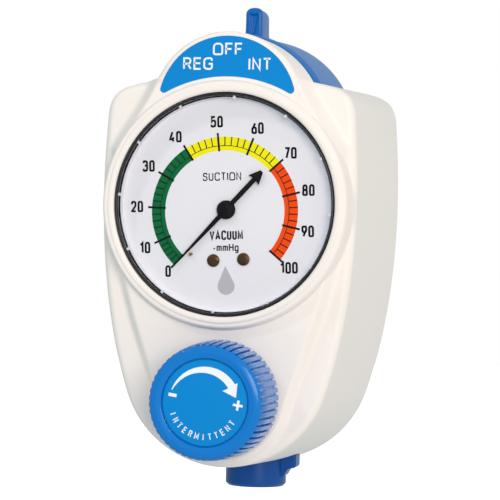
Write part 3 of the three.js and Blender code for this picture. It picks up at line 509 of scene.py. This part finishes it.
def join(name, objects):
    """One object from several, each keeping its materials."""
    graph = bpy.context.evaluated_depsgraph_get()
    verts, faces, mats, index = [], [], [], []
    for o in objects:
        mesh = o.evaluated_get(graph).to_mesh()
        base = len(verts)
        verts += [tuple(o.matrix_world @ v.co) for v in mesh.vertices]
        slots = []
        for m in o.data.materials:
            if m not in mats:
                mats.append(m)
            slots.append(mats.index(m))
        for p in mesh.polygons:
            faces.append([base + i for i in p.vertices])
            index.append(slots[p.material_index] if slots else 0)
        o.evaluated_get(graph).to_mesh_clear()
    mesh = bpy.data.meshes.new(name)
    mesh.from_pydata(verts, [], faces)
    for m in mats:
        mesh.materials.append(m)
    mesh.polygons.foreach_set("material_index", index)
    mesh.update()
    obj = bpy.data.objects.new(name, mesh)
    bpy.context.scene.collection.objects.link(obj)
    shade(mesh, 35)
    for o in objects:
        bpy.data.objects.remove(o)
    return obj


# ---------- flat prints ----------
def print_shape(name, outline, y, material, thickness=0.06):
    """A closed outline in x and z, laid as a thin film at depth y."""
    outline = np.asarray(outline, float)
    n = len(outline)
    rows = [np.stack([outline[:, 0], np.full(n, d), outline[:, 1]], -1) for d in (y, y + thickness)]
    return grid(name, np.array(rows), material, close_cols=True, caps=True)


def ring_sector(r0, r1, a0, a1):
    """Outline of a band between two radii and two angles, clockwise from the top."""
    steps = int(abs(a1 - a0) / 2)
    a = np.radians(np.linspace(a0, a1, steps + 1))
    inner = np.stack([r0 * np.sin(a), r0 * np.cos(a)], -1)
    outer = np.stack([r1 * np.sin(a), r1 * np.cos(a)], -1)
    return np.concatenate([inner, outer[::-1]])


def turn_outline(points, clockwise, centre=(0, 0)):
    a = math.radians(clockwise)
    p = np.asarray(points, float)
    x = p[:, 0] * math.cos(a) + p[:, 1] * math.sin(a)
    z = -p[:, 0] * math.sin(a) + p[:, 1] * math.cos(a)
    return np.stack([x + centre[0], z + centre[1]], -1)


def bar(r0, r1, angle, width, centre=(0, 0)):
    """Outline of a bar that runs from r0 to r1 at an angle clockwise from the top."""
    return turn_outline([(-width / 2, r0), (width / 2, r0), (width / 2, r1), (-width / 2, r1)], angle, centre)


def clock_spot(centre, r, angle):
    """The point at radius r and an angle clockwise from the top."""
    a = math.radians(angle)
    return centre[0] + r * math.sin(a), centre[1] + r * math.cos(a)


# ---------- lettering ----------
# Each glyph: its width, then strokes on a capital-high grid. A point's third number rounds the corner there.
GLYPHS = {
    "0": (0.5, [[(0.25, 0), (0, 0, 0.25), (0, 1, 0.25), (0.5, 1, 0.25), (0.5, 0, 0.25), (0.25, 0)]]),
    "1": (0.28, [[(0, 0.76), (0.28, 1, 0), (0.28, 0)]]),
    "2": (0.5, [[(0.01, 0.74), (0.01, 1, 0.25), (0.49, 1, 0.25), (0.49, 0.58, 0.2), (0, 0, 0.02),
                 (0.52, 0)]]),
    "3": (0.5, [[(0.01, 0.8), (0.01, 1, 0.2), (0.48, 1, 0.23), (0.48, 0.54, 0.22), (0.17, 0.54)],
                [(0.17, 0.54), (0.5, 0.54, 0.25), (0.5, 0, 0.25), (0, 0, 0.25), (0, 0.22)]]),
    "4": (0.54, [[(0.33, 1), (0, 0.24, 0), (0.54, 0.24)], [(0.42, 0.46), (0.42, 0)]]),
    "5": (0.5, [[(0.47, 1), (0.05, 1, 0), (0.02, 0.5, 0), (0.08, 0.62, 0.1), (0.5, 0.62, 0.25),
                 (0.5, 0, 0.25), (0, 0, 0.25), (0, 0.2)]]),
    "6": (0.5, [[(0.25, 0), (0, 0, 0.25), (0, 0.58, 0.25), (0.5, 0.58, 0.25), (0.5, 0, 0.25), (0.25, 0)],
                [(0.38, 1), (0.03, 0.4)]]),
    "7": (0.5, [[(0, 1), (0.5, 1, 0), (0.16, 0)]]),
    "8": (0.5, [[(0.25, 0), (0, 0, 0.25), (0, 0.53, 0.25), (0.5, 0.53, 0.25), (0.5, 0, 0.25), (0.25, 0)],
                [(0.25, 0.53), (0.03, 0.53, 0.2), (0.03, 1, 0.22), (0.47, 1, 0.22), (0.47, 0.53, 0.2),
                 (0.25, 0.53)]]),
    "9": (0.5, [[(0.25, 1), (0.5, 1, 0.25), (0.5, 0.42, 0.25), (0, 0.42, 0.25), (0, 1, 0.25), (0.25, 1)],
                [(0.12, 0), (0.47, 0.6)]]),
    "A": (0.68, [[(0, 0), (0.34, 1, 0), (0.68, 0)], [(0.11, 0.3), (0.57, 0.3)]]),
    "C": (0.62, [[(0.62, 0.74), (0.62, 1, 0.3), (0, 1, 0.32), (0, 0, 0.32), (0.62, 0, 0.3), (0.62, 0.26)]]),
    "E": (0.52, [[(0.54, 1), (0, 1, 0), (0, 0, 0), (0.55, 0)], [(0, 0.52), (0.5, 0.52)]]),
    "F": (0.5, [[(0.52, 1), (0, 1, 0), (0, 0)], [(0, 0.5), (0.46, 0.5)]]),
    "G": (0.66, [[(0.64, 0.76), (0.64, 1, 0.3), (0, 1, 0.34), (0, 0, 0.34), (0.66, 0, 0.3), (0.66, 0.48, 0),
                  (0.38, 0.48)]]),
    "H": (0.54, [[(0, 0), (0, 1)], [(0.54, 0), (0.54, 1)], [(0, 0.52), (0.54, 0.52)]]),
    "I": (0.0, [[(0, 0), (0, 1)]]),
    "M": (0.72, [[(0, 0), (0, 1, 0), (0.36, 0.2, 0), (0.72, 1, 0), (0.72, 0)]]),
    "N": (0.56, [[(0, 0), (0, 1, 0), (0.56, 0, 0), (0.56, 1)]]),
    "O": (0.72, [[(0.36, 0), (0, 0, 0.36), (0, 1, 0.36), (0.72, 1, 0.36), (0.72, 0, 0.36), (0.36, 0)]]),
    "R": (0.56, [[(0, 0), (0, 1, 0), (0.54, 1, 0.25), (0.54, 0.48, 0.25), (0, 0.48)],
                 [(0.32, 0.48), (0.57, 0)]]),
    "S": (0.52, [[(0.5, 0.76), (0.5, 1, 0.24), (0.02, 1, 0.24), (0.02, 0.54, 0.22), (0.52, 0.5, 0.22),
                  (0.52, 0, 0.25), (0, 0, 0.25), (0, 0.24)]]),
    "T": (0.58, [[(0, 1), (0.58, 1)], [(0.29, 1), (0.29, 0)]]),
    "U": (0.56, [[(0, 1), (0, 0, 0.28), (0.56, 0, 0.28), (0.56, 1)]]),
    "V": (0.64, [[(0, 1), (0.32, 0, 0), (0.64, 1)]]),
    "g": (0.42, [[(0.21, 0), (0, 0, 0.21), (0, 0.68, 0.21), (0.42, 0.68, 0.1), (0.42, -0.28, 0.2),
                  (0.02, -0.28)], [(0.21, 0), (0.42, 0.05)]]),
    "m": (0.62, [[(0, 0), (0, 0.7)], [(0, 0.5), (0.02, 0.68, 0.15), (0.31, 0.68, 0.16), (0.31, 0)],
                 [(0.31, 0.5), (0.33, 0.68, 0.15), (0.62, 0.68, 0.16), (0.62, 0)]]),
    "-": (0.26, [[(0, 0.36), (0.28, 0.36)]]),
}


def ribbon(points, half):
    """Left and right edges of a stroke, mitred at its corners."""
    p = np.array(points, float)
    keep = np.concatenate([[True], np.linalg.norm(np.diff(p, axis=0), axis=1) > 1e-6])
    p = p[keep]
    closed = np.linalg.norm(p[0] - p[-1]) < 1e-6
    d = np.diff(p, axis=0)
    d /= np.linalg.norm(d, axis=1)[:, None]
    first, last = (d[-1], d[0]) if closed else (d[0], d[-1])
    before, after = np.vstack([first, d]), np.vstack([d, last])
    n1 = np.stack([-before[:, 1], before[:, 0]], -1)
    n2 = np.stack([-after[:, 1], after[:, 0]], -1)
    m = n1 + n2
    m /= np.maximum(np.linalg.norm(m, axis=1), 0.35)[:, None]
    offset = (half / np.maximum((m * n1).sum(1), 0.42))[:, None]
    return p + m * offset, p - m * offset


def lettering(name, text, height, spot, y, material, turn=0.0, narrow=1.0, weight=0.13, spacing=0.24):
    """Plain stroke lettering, centred on a spot and facing the front. height is a capital's."""
    pen, verts, faces = 0.0, [], []
    for c in text:
        width, strokes = GLYPHS[c]
        for stroke in strokes:
            path = [(pen + x * narrow, z) for x, z in rounded(stroke, 0.0, 5)]
            left, right = ribbon(path, weight / 2)
            base = len(verts)
            for a, b in zip(left, right):
                verts += [a, b]
            for k in range(base, base + 2 * len(left) - 2, 2):
                faces.append((k, k + 1, k + 3, k + 2))
        pen += width * narrow + spacing
    flat = np.array(verts)
    flat[:, 0] -= (pen - spacing) / 2
    flat[:, 1] -= 0.5
    flat *= height / (1 + weight)
    flat = turn_outline(flat, turn, spot)
    points = np.stack([flat[:, 0], np.full(len(flat), float(y)), flat[:, 1]], -1)
    return new_object(name, points, faces, material, weld=False)


# ---------- housing ----------
shell = front_cover(WHITE)
drum_slot = cone_between("drum_cut", DRUM_FRONT - 1.2, DRUM_BACK + 1.2, DRUM_R_FRONT + 1.6,
                         DRUM_R_BACK + 0.8, DRUM_Z)
cut_with(shell, drum_slot)
seat = [(1e-3, -100), (SEAT_R, -100), (SEAT_R, SEAT_Z), (1e-3, SEAT_Z)]
cut_with(shell, lathe("seat_cut", seat, None, centre=(0, OUTLET_Y), segments=120, axis="z", caps=True))
dome = dome_cover(WHITE)
cut_with(dome, cone_between("gauge_cut", -5, 30, 35.0, 35.0))
finish_piece(shell, "housing", ["front_cover"])
finish_piece(dome, "housing")

seat_low, seat_high = SEAT_Z + 0.01, SEAT_Z + 1.5
seat = [(5.5, seat_low), (SEAT_R + 0.6, seat_low), (SEAT_R + 0.6, seat_high), (5.5, seat_high)]
seat = lathe("collar_seat", seat, WHITE, centre=(0, OUTLET_Y), segments=96, axis="z", close_rows=True)
finish_piece(seat, "housing")


def crescent(outer, inner, tip):
    """The legend's outline: an arc round the dome and one round the gauge, joined by round tips."""
    far, near = outer - tip, inner + tip
    a = math.asin((near**2 - DOME_Z**2 - far**2) / (2 * DOME_Z * far))
    cx, cz = far * math.cos(a), DOME_Z + far * math.sin(a)
    b = math.degrees(math.atan2(cz, cx))
    a = math.degrees(a)
    over, end, under = arc(0, DOME_Z, outer, 90, a), arc(cx, cz, tip, a, b - 180, 12), arc(0, 0, inner, b, 90, 24)
    return mirrored(over, end, under)


legend = print_shape("legend_film", crescent(21.1, 38.3, 1.15), DOME_Y - 0.06, LABEL, 0.4)
finish_piece(legend, "housing", ["legend_plate"])
for word, spot in (("OFF", (0.0, 46.5)), ("REG", (-9.0, 42.1)), ("INT", (9.9, 42.0))):
    name = "legend_" + word.lower()
    finish_piece(lettering(name, word, 3.75, spot, DOME_Y - 0.1, PRINT_WHITE, 0, 1.12, 0.17, 0.36), "housing")

# ---------- gauge ----------
ring = rounded([
    (32.5, 2.4), (32.5, 0.4, 0.3), (32.75, -0.15, 0.2), (33.15, -0.15, 0.3), (33.4, 0.3, 0.2),
    (33.4, 8), (32.7, 8), (32.7, 2.4), (32.5, 2.4),
], 0.2, 4)[:-1]
bezel = lathe("gauge_bezel", ring, BLACK, segments=240, close_rows=True)
finish_piece(bezel, "housing", ["bezel_ring"])
window = [(1e-3, 0.75), (20, 0.78), (30, 0.9), (32.2, 1.0), (32.45, 1.2), (32.45, 2.2), (1e-3, 2.2)]
finish_piece(lathe("gauge_window", window, LENS), "housing", ["gauge_lens"])
lugs = []
for k in range(12):
    spot = 4.5 + 30 * k
    outline = turn_outline([(-0.45, 31.75), (0.45, 31.75), (0.35, 32.55), (-0.35, 32.55)], spot)
    lugs.append(print_shape("lug", outline, 0.35, LUG, 0.6))
finish_piece(join("lens_lugs", lugs), "housing")

seal = [(32.2, 2.3), (32.5, 2.3), (32.5, 2.9), (32.2, 2.9)]
finish_piece(lathe("lens_seal", seal, RUBBER, close_rows=True), "housing", ["lens_gasket"])
dial = [(1e-3, DIAL_Y), (32.0, DIAL_Y), (32.2, DIAL_Y + 0.15), (32.2, DIAL_Y + 0.5), (1e-3, DIAL_Y + 0.5)]
finish_piece(lathe("gauge_dial_face", dial, DIAL_WHITE), "housing", ["gauge_dial"])
inner_wall = [(32.1, 2.3), (32.48, 2.3), (32.48, 8.2), (32.1, 8.2)]
finish_piece(lathe("gauge_inner_wall", inner_wall, DIAL_WHITE, close_rows=True), "housing")

# The prints' centre is a little off the hub. Films lie just in front of the dial, and ink in front of them.
HUB = (0.0, DIAL_Z)
PRINT_MID = (-0.6, DIAL_Z - 0.4)
SCALE_ZERO, SCALE_TEN, SCALE_UNIT = -137.3, -115.2, 2.72
BAND_IN, BAND_OUT, BAND_LINE = 18.3, 22.4, 19.7
FILM_Y, INK_Y = DIAL_Y - 0.03, DIAL_Y - 0.05


def scale_angle(value):
    """Printed angle of a reading, clockwise from the top. The first ten units are closer together."""
    if value >= 10:
        return SCALE_TEN + (value - 10) * SCALE_UNIT
    return SCALE_ZERO + (SCALE_TEN - SCALE_ZERO) * value / 10


for name, lo, hi, look in (("green", 0, 40, GREEN), ("yellow", 40, 70, YELLOW), ("orange", 70, 100, ORANGE)):
    outline = ring_sector(BAND_IN, BAND_OUT, scale_angle(lo), scale_angle(hi)) + PRINT_MID
    finish_piece(print_shape("dial_band_" + name, outline, FILM_Y, look, 0.02), "housing")

ink = []
line = ring_sector(BAND_LINE - 0.1, BAND_LINE + 0.1, scale_angle(0), scale_angle(100)) + PRINT_MID
ink.append(print_shape("scale_line", line, INK_Y, PRINT_BLACK, 0.015))
for value in range(0, 101, 2):
    if value % 10:
        mark = bar(BAND_LINE, BAND_OUT, scale_angle(value), 0.32, PRINT_MID)
        ink.append(print_shape("minor", mark, INK_Y, PRINT_BLACK, 0.015))
    else:
        mark = bar(BAND_IN - 0.2, BAND_OUT + 1.2, scale_angle(value), 0.62, PRINT_MID)
        ink.append(print_shape("major", mark, INK_Y - 0.01, PRINT_BLACK, 0.025))
finish_piece(join("dial_ticks", ink), "housing")


def dial_text(text, height, spot, narrow, weight, spacing=0.32):
    turn = -0.6 * DIAL_TURN
    return lettering("text", text, height, spot, FILM_Y, PRINT_BLACK, turn, narrow, weight, spacing)


numbers = []
for value in range(0, 101, 10):
    angle = scale_angle(value)
    # The ring of numbers is widest at the upper left, and the 0 stands inside it.
    r = 26.6 + 0.6 * math.cos(math.radians(angle + 50)) if value else 25.0
    if value == 40:
        angle -= 1.6
    numbers.append(dial_text(str(value), 3.5, clock_spot(PRINT_MID, r, angle), 0.77, 0.22, 0.33))
finish_piece(join("dial_numbers", numbers), "housing")
words = [
    dial_text("VACUUM", 2.9, (0.1, -9.1), narrow=0.66, weight=0.22),
    dial_text("-mmHg", 2.4, (0.0, -12.8), narrow=1.0, weight=0.19),
    dial_text("SUCTION", 2.5, (-1.6, 8.5), narrow=0.95, weight=0.16),
]
finish_piece(join("dial_words", words), "housing")

droplet = np.concatenate([arc(0, 0, 2.6, 148, 392, 30), np.array([[0, 2.35 * 2.6]])])
droplet = turn_outline(droplet, -DIAL_TURN, (0.4, -24.4))
finish_piece(print_shape("dial_droplet", droplet, FILM_Y, PRINT_GREY, 0.02), "housing")


def pointer():
    """One stamped blade on a hub, with an arrow-headed counterweight, turned to its rest reading."""
    tip = 24.3
    blade = [(-0.75, 1.8), (-0.17, tip - 1.2), (0, tip), (0.17, tip - 1.2), (0.75, 1.8)]
    tail = [(0.72, -1.8), (0.72, -12.6), (2.15, -12.2), (0.5, -15.8)]
    tail += [(-x, z) for x, z in reversed(tail)]
    turn = SCALE_START - DIAL_TURN
    pieces = []
    for part in (blade, tail):
        pieces.append(print_shape("hand", turn_outline(part, turn, HUB), 3.85, PRINT_BLACK, 0.35))
    hub = [(1e-3, 3.0), (1.0, 3.0, 0.2), (2.3, 3.25, 0.5), (2.85, 3.9, 0.3), (2.85, 4.5), (1e-3, 4.5)]
    pieces.append(lathe("hub", rounded(hub, 0.2, 4), PRINT_BLACK, centre=HUB, segments=64))
    return join("gauge_hand", pieces)


finish_piece(pointer(), "pointer", ["gauge_pointer"])


def dial_screw(name, x, z, turn):
    """A round-headed slotted screw."""
    profile = rounded([(1e-3, 4.25), (1.1, 4.3, 0.5), (1.9, 4.6, 0.25), (1.95, 4.95), (1e-3, 4.95)], 0.2, 4)
    head = lathe(name, profile, DARK_BRASS, centre=(x, z), segments=48)
    cut_with(head, print_shape("slot", bar(-0.22, 0.22, turn, 4.2, (x, z)), 4.0, None, 0.62))
    return head


for name, side in (("dial_screw_left", -1), ("dial_screw_right", 1)):
    x, z = turn_outline([(4.6 * side, -15.05)], -DIAL_TURN, HUB)[0]
    finish_piece(dial_screw(name + "_head", x, z, 38 + 25 * side), "housing", [name])


# ---------- regulating knob ----------
def knob():
    """The fluted knob: flat ribs, narrow grooves between them, and a round rim about the label's recess."""
    per = 16
    n = KNOB_FLUTES * per
    a = np.arange(n) * TAU / n
    phase = (np.arange(n) % per) / per
    groove = np.clip((np.abs(phase - 0.5) - 0.3) / 0.08, 0, 1)
    groove = groove * groove * (3 - 2 * groove)
    groove_depth = 1.0

    def ring(r, y, cut=0.0):
        r = r - groove_depth * groove * cut
        return np.stack([r * np.cos(a), np.full(n, y), r * np.sin(a)], -1)

    front = rounded([
        (1e-3, -19.35), (12.85, -19.35, 0.1), (12.95, -20.1, 0.2),
        (14.5, -20.4, 1.0), (15.9, -20.1, 0.7), (16.45, -19.5),
    ], 0.3, 6)
    rows = [ring(r, y) for r, y in front]
    cuts = (
        (-19.4, 0.0), (-19.3, 0.4), (-19.15, 0.8), (-18.9, 1.0),
        (-12, 1.0), (-6, 1.0), (0, 1.0), (1.6, 1.0),
    )
    for y, cut in cuts:
        rows.append(ring(np.interp(y, [-19.5, -18.9, -17.5, 2.3], [16.45, 16.8, 17.25, KNOB_R]), y, cut))
    back = (
        (KNOB_R - 0.9, 2.2), (KNOB_R - 1.4, 2.3), (15.6, 2.3), (15.4, -14.6), (6.4, -14.6),
        (6.4, -3.6), (2.96, -3.6), (2.96, -15.5), (1e-3, -15.5),
    )
    rows += [ring(r, y) for r, y in back]
    pts = np.array(rows)
    pts[..., 2] += KNOB_Z
    return grid("knob_skirt", pts, BLUE, close_cols=True, smooth_angle=32)


finish_piece(knob(), "knob", ["regulating_knob"])
LABEL_Y = -19.9
KNOB_MID = (0, KNOB_Z)
film = [(1e-3, LABEL_Y), (12.35, LABEL_Y, 0.15), (12.6, LABEL_Y + 0.3), (12.6, -19.45), (1e-3, -19.45)]
film = lathe("knob_film", rounded(film, 0.1, 3), LABEL, centre=KNOB_MID, segments=128)
finish_piece(film, "knob", ["knob_label"])


def sweep_arrow():
    """The curved arrow over the knob's label: a tail that widens clockwise into a broad head."""
    start, neck, tip = -70.0, 57.0, 79.0
    t = np.linspace(0, 1, 40)
    angles = start + (neck - start) * t
    outer = np.full_like(t, 10.55) - 0.1 * t
    inner = outer - (0.25 + 2.0 * np.sin(t * math.pi / 2) ** 0.9)

    def spots(radii, turns):
        return [clock_spot(KNOB_MID, r, turn) for r, turn in zip(radii, turns)]

    head = spots((11.3, 9.35, 6.35), (neck + 1.0, tip, neck - 2.0))
    return spots(outer, angles) + head + spots(inner, angles)[::-1]


minus = bar(-1.2, 1.2, 99, 0.96, clock_spot(KNOB_MID, 9.75, -78))
plus_spot = clock_spot(KNOB_MID, 9.8, 92.4)
marks = [
    print_shape("arrow", sweep_arrow(), LABEL_Y - 0.05, PRINT_WHITE, 0.04),
    print_shape("minus", minus, LABEL_Y - 0.05, PRINT_WHITE, 0.04),
    print_shape("plus", bar(-1.45, 1.45, 8, 0.72, plus_spot), LABEL_Y - 0.05, PRINT_WHITE, 0.04),
    print_shape("plus", bar(-1.45, 1.45, 98, 0.72, plus_spot), LABEL_Y - 0.052, PRINT_WHITE, 0.04),
]
finish_piece(join("knob_marks", marks), "knob")
letters = []
for letter, angle in zip("INTERMITTENT", np.linspace(-110.0, -236.0, 12)):
    spot = clock_spot(KNOB_MID, 9.85, angle)
    letters.append(lettering("letter", letter, 1.95, spot, LABEL_Y - 0.04, PRINT_WHITE, angle + 180, 0.85, 0.18))
finish_piece(join("knob_word", letters), "knob")


# ---------- selector ----------
def drum():
    """The part-round drum: a bright front lip, a groove and a long skirt that widens to the rear. The skirt's
    lighter grey-blue is a painted sheen.
    """
    profile = rounded([
        (24.8, DRUM_FRONT), (27.4, DRUM_FRONT, 0.3), (DRUM_R_FRONT + 0.3, DRUM_FRONT + 0.8, 0.5),
        (28.7, 20.6, 0.3), (28.5, 20.9, 0.1), (27.7, 21.0, 0.1), (27.7, 21.9, 0.1), (28.4, 22.1, 0.15),
        (DRUM_R_BACK, DRUM_BACK - 1.2, 1.0), (DRUM_R_BACK - 1.0, DRUM_BACK, 0.5), (28.0, DRUM_BACK),
        (24.8, DRUM_FRONT),
    ], 0.2, 4)[:-1]
    r, y = np.array(profile).T
    a = np.radians(np.linspace(-90, 90, 145))[:, None]
    pts = np.stack([r * np.sin(a), np.broadcast_to(y, (len(a), len(y))), r * np.cos(a) + DRUM_Z], -1)
    skirt = grid("drum_skirt", pts, LIP_BLUE, close_cols=True, caps=True, smooth_angle=30)
    skirt.data.materials.append(DRUM_SHEEN_BLUE)
    # Faces behind the groove take the duller, lighter grey-blue, a painted sheen standing for the glare on the
    # skirt. Their centres are in the frame's metres.
    groove = (21.5 - DEPTH) / 1000
    for face in skirt.data.polygons:
        face.material_index = int(face.center.y > groove)
    return skirt


def lever():
    """The lever's upright: rounded on top, flared into the drum, with a tapering recess in its front."""
    rows = []
    for z in np.linspace(50.0, LEVER_TOP, 60):
        up = LEVER_TOP - z
        flare = 2.2 * math.exp(-max(z - 52.5, 0) / 1.1) if z < 62 else 0.0
        half = LEVER_HALF + flare - round_over(up, 2.2)
        front = 41.0 + round_over(up, 1.6) - flare * 0.5
        back = 54.0 - round_over(up, 4.0) + flare * 0.6
        corner = min(0.9, half * 0.6)
        recess = 0.55 * np.clip((LEVER_TOP - 2.0 - z) / 0.7, 0, 1)
        width = 0.66 * LEVER_HALF * np.clip((z - 52.3) / (LEVER_TOP - 54.0), 0, 1)
        ring = []
        for x in np.linspace(-half + corner, half - corner, 25):
            ring.append((x, front + recess * np.clip((width - abs(x)) / 0.5, 0, 1), z))
        side = half - corner
        corners = (
            (side, front + corner, -90), (side, back - corner, 0),
            (-side, back - corner, 90), (-side, front + corner, 180),
        )
        for cx, cy, first in corners:
            for t in np.linspace(0, 90, 7)[(0 if first in (0, 90) else 1):]:
                a = math.radians(first + t)
                ring.append((cx + corner * math.cos(a), cy + corner * math.sin(a), z))
        # The last point is the first again.
        rows.append(ring[:-1])
    return grid("lever_grip", np.array(rows), DEEP_BLUE, close_cols=True, caps=True, smooth_angle=40)


finish_piece(drum(), "selector", ["selector_lever"])
finish_piece(lever(), "selector")


def web():
    """The wall inside the drum: the upper half disc, and a hub with three detent notches on its rim."""
    sector = ring_sector(8.0, 27.2, -88, 88) + [0, DRUM_Z]
    sheet = print_shape("sheet", sector, 44.5, BLUE, 2.5)
    n = 180
    a = np.arange(n) * TAU / n
    notch = np.zeros(n)
    for spot in (-30, 0, 30):
        away = (np.degrees(a) - 270 - spot + 180) % 360 - 180
        notch = np.maximum(notch, np.clip(1 - np.abs(away) / 8, 0, 1))
    rows = []
    for r, y in ((3.0, 43.6), (8.5, 43.6), (9.0, 44.0), (9.0, 49.6), (8.6, 50.0), (3.0, 50.0)):
        rr = r - (0.9 * notch if r > 5 else 0)
        rows.append(np.stack([rr * np.cos(a), np.full(n, y), rr * np.sin(a) + DRUM_Z], -1))
    hub = grid("hub", np.array(rows), BLUE, close_rows=True, close_cols=True)
    return join("selector_web", [sheet, hub])


finish_piece(web(), "selector")


# ---------- outlet collar ----------
def collar():
    """The locking cup: a plain barrel, hollow below, with a thumb tab outside and two lugs inside."""
    outer = rounded([
        (5.4, COLLAR_TOP), (COLLAR_R - 0.3, COLLAR_TOP, 0.1), (COLLAR_R, COLLAR_TOP - 0.4, 0.1),
        (COLLAR_R, COLLAR_BOTTOM + 0.9, 0.4), (COLLAR_R - 0.9, COLLAR_BOTTOM, 0.4), (8.3, COLLAR_BOTTOM, 0.1),
        (8.15, COLLAR_BOTTOM + 0.3, 0.1), (8.15, -81.2), (5.4, -81.2), (5.4, COLLAR_TOP),
    ], 0.2, 5)[:-1]
    cup = lathe("collar_cup", outer, COLLAR_BLUE, centre=(0, OUTLET_Y), segments=144, axis="z",
                close_rows=True)
    rows = []
    for y in np.linspace(-4, 4, 17):
        out = 13.8 - round_over(4 - abs(y), 0.7)
        line = [
            (8.6, COLLAR_TOP), (out, COLLAR_TOP, 0.3), (out, -83.0, 1.6), (11.2, -83.3, 1.2),
            (9.95, -85.6, 1.3), (8.6, -86.4),
        ]
        rows.append([(x, OUTLET_Y + y, z) for x, z in rounded(line, 0.3, 6)])
    tab = grid("collar_tab", np.array(rows), COLLAR_BLUE, close_cols=True, caps=True, smooth_angle=40)
    section = ((8.3, -87.6), (7.0, -87.4), (7.0, -86.2), (8.3, -86.0))
    lugs = []
    for turn in (90, 270):
        pts = []
        for a in np.radians(np.linspace(turn - 20, turn + 20, 13)):
            pts.append([(r * math.cos(a), OUTLET_Y + r * math.sin(a), z) for r, z in section])
        lugs.append(grid("lug", np.array(pts), COLLAR_BLUE, close_cols=True, caps=True))
    return join("collar_barrel", [cup, tab] + lugs)


finish_piece(collar(), "collar", ["lock_collar"])


# ---------- stage ----------
def add_light(name, spot, power, size, color=(1, 1, 1)):
    """A round soft light aimed at the middle of the unit."""
    data = bpy.data.lights.new(name, "AREA")
    data.energy, data.color = power, color
    data.shape, data.size = "DISK", size
    obj = bpy.data.objects.new(name, data)
    bpy.context.scene.collection.objects.link(obj)
    obj.location = spot
    obj.rotation_euler = (Vector((0, -0.05, -0.015)) - Vector(spot)).to_track_quat("-Z", "Y").to_euler()


add_light("key", (0.5, -1.2, 0.2), 7.5, 0.6, (1.0, 0.88, 0.81))
add_light("glint", (-0.75, -0.8, 0.95), 2.6, 0.11)

# The sky is white to the camera. It lights the object with a dimmer light, coolest and weakest from the left.
world = bpy.data.worlds.new("studio")
world.use_nodes = True
tree = world.node_tree
background = tree.nodes["Background"]
rays = tree.nodes.new("ShaderNodeLightPath")
direction = tree.nodes.new("ShaderNodeTexCoord")
split = tree.nodes.new("ShaderNodeSeparateXYZ")
side = tree.nodes.new("ShaderNodeMapRange")
side.inputs["From Min"].default_value = -1.0
glow, sky = tree.nodes.new("ShaderNodeMix"), tree.nodes.new("ShaderNodeMix")
glow.data_type = sky.data_type = "RGBA"
glow.inputs[6].default_value = (0.42, 0.50, 0.54, 1)
glow.inputs[7].default_value = (0.77, 0.79, 0.79, 1)
sky.inputs[7].default_value = (1, 1, 1, 1)
tree.links.new(direction.outputs["Generated"], split.inputs["Vector"])
tree.links.new(split.outputs["X"], side.inputs["Value"])
tree.links.new(side.outputs["Result"], glow.inputs[0])
tree.links.new(glow.outputs[2], sky.inputs[6])
tree.links.new(rays.outputs["Is Camera Ray"], sky.inputs[0])
tree.links.new(sky.outputs[2], background.inputs["Color"])
bpy.context.scene.world = world
bpy.context.scene.view_settings.view_transform = "Standard"

floor_mesh = bpy.data.meshes.new("floor")
floor_mesh.from_pydata([(-6, -6, -0.3), (6, -6, -0.3), (6, 6, -0.3), (-6, 6, -0.3)], [], [(0, 1, 2, 3)])
floor = bpy.data.objects.new("floor", floor_mesh)
bpy.context.scene.collection.objects.link(floor)
floor_look = plastic("floor", linear(250, 250, 250), 0.9, mottle=0.0, grain=40, bump=0.0)
floor_shader = floor_look.node_tree.nodes["Principled BSDF"]
floor_shader.inputs["Emission Color"].default_value = (1, 1, 1, 1)
floor_shader.inputs["Emission Strength"].default_value = 0.62
floor_mesh.materials.append(floor_look)
floor.visible_diffuse = False
floor.visible_glossy = False
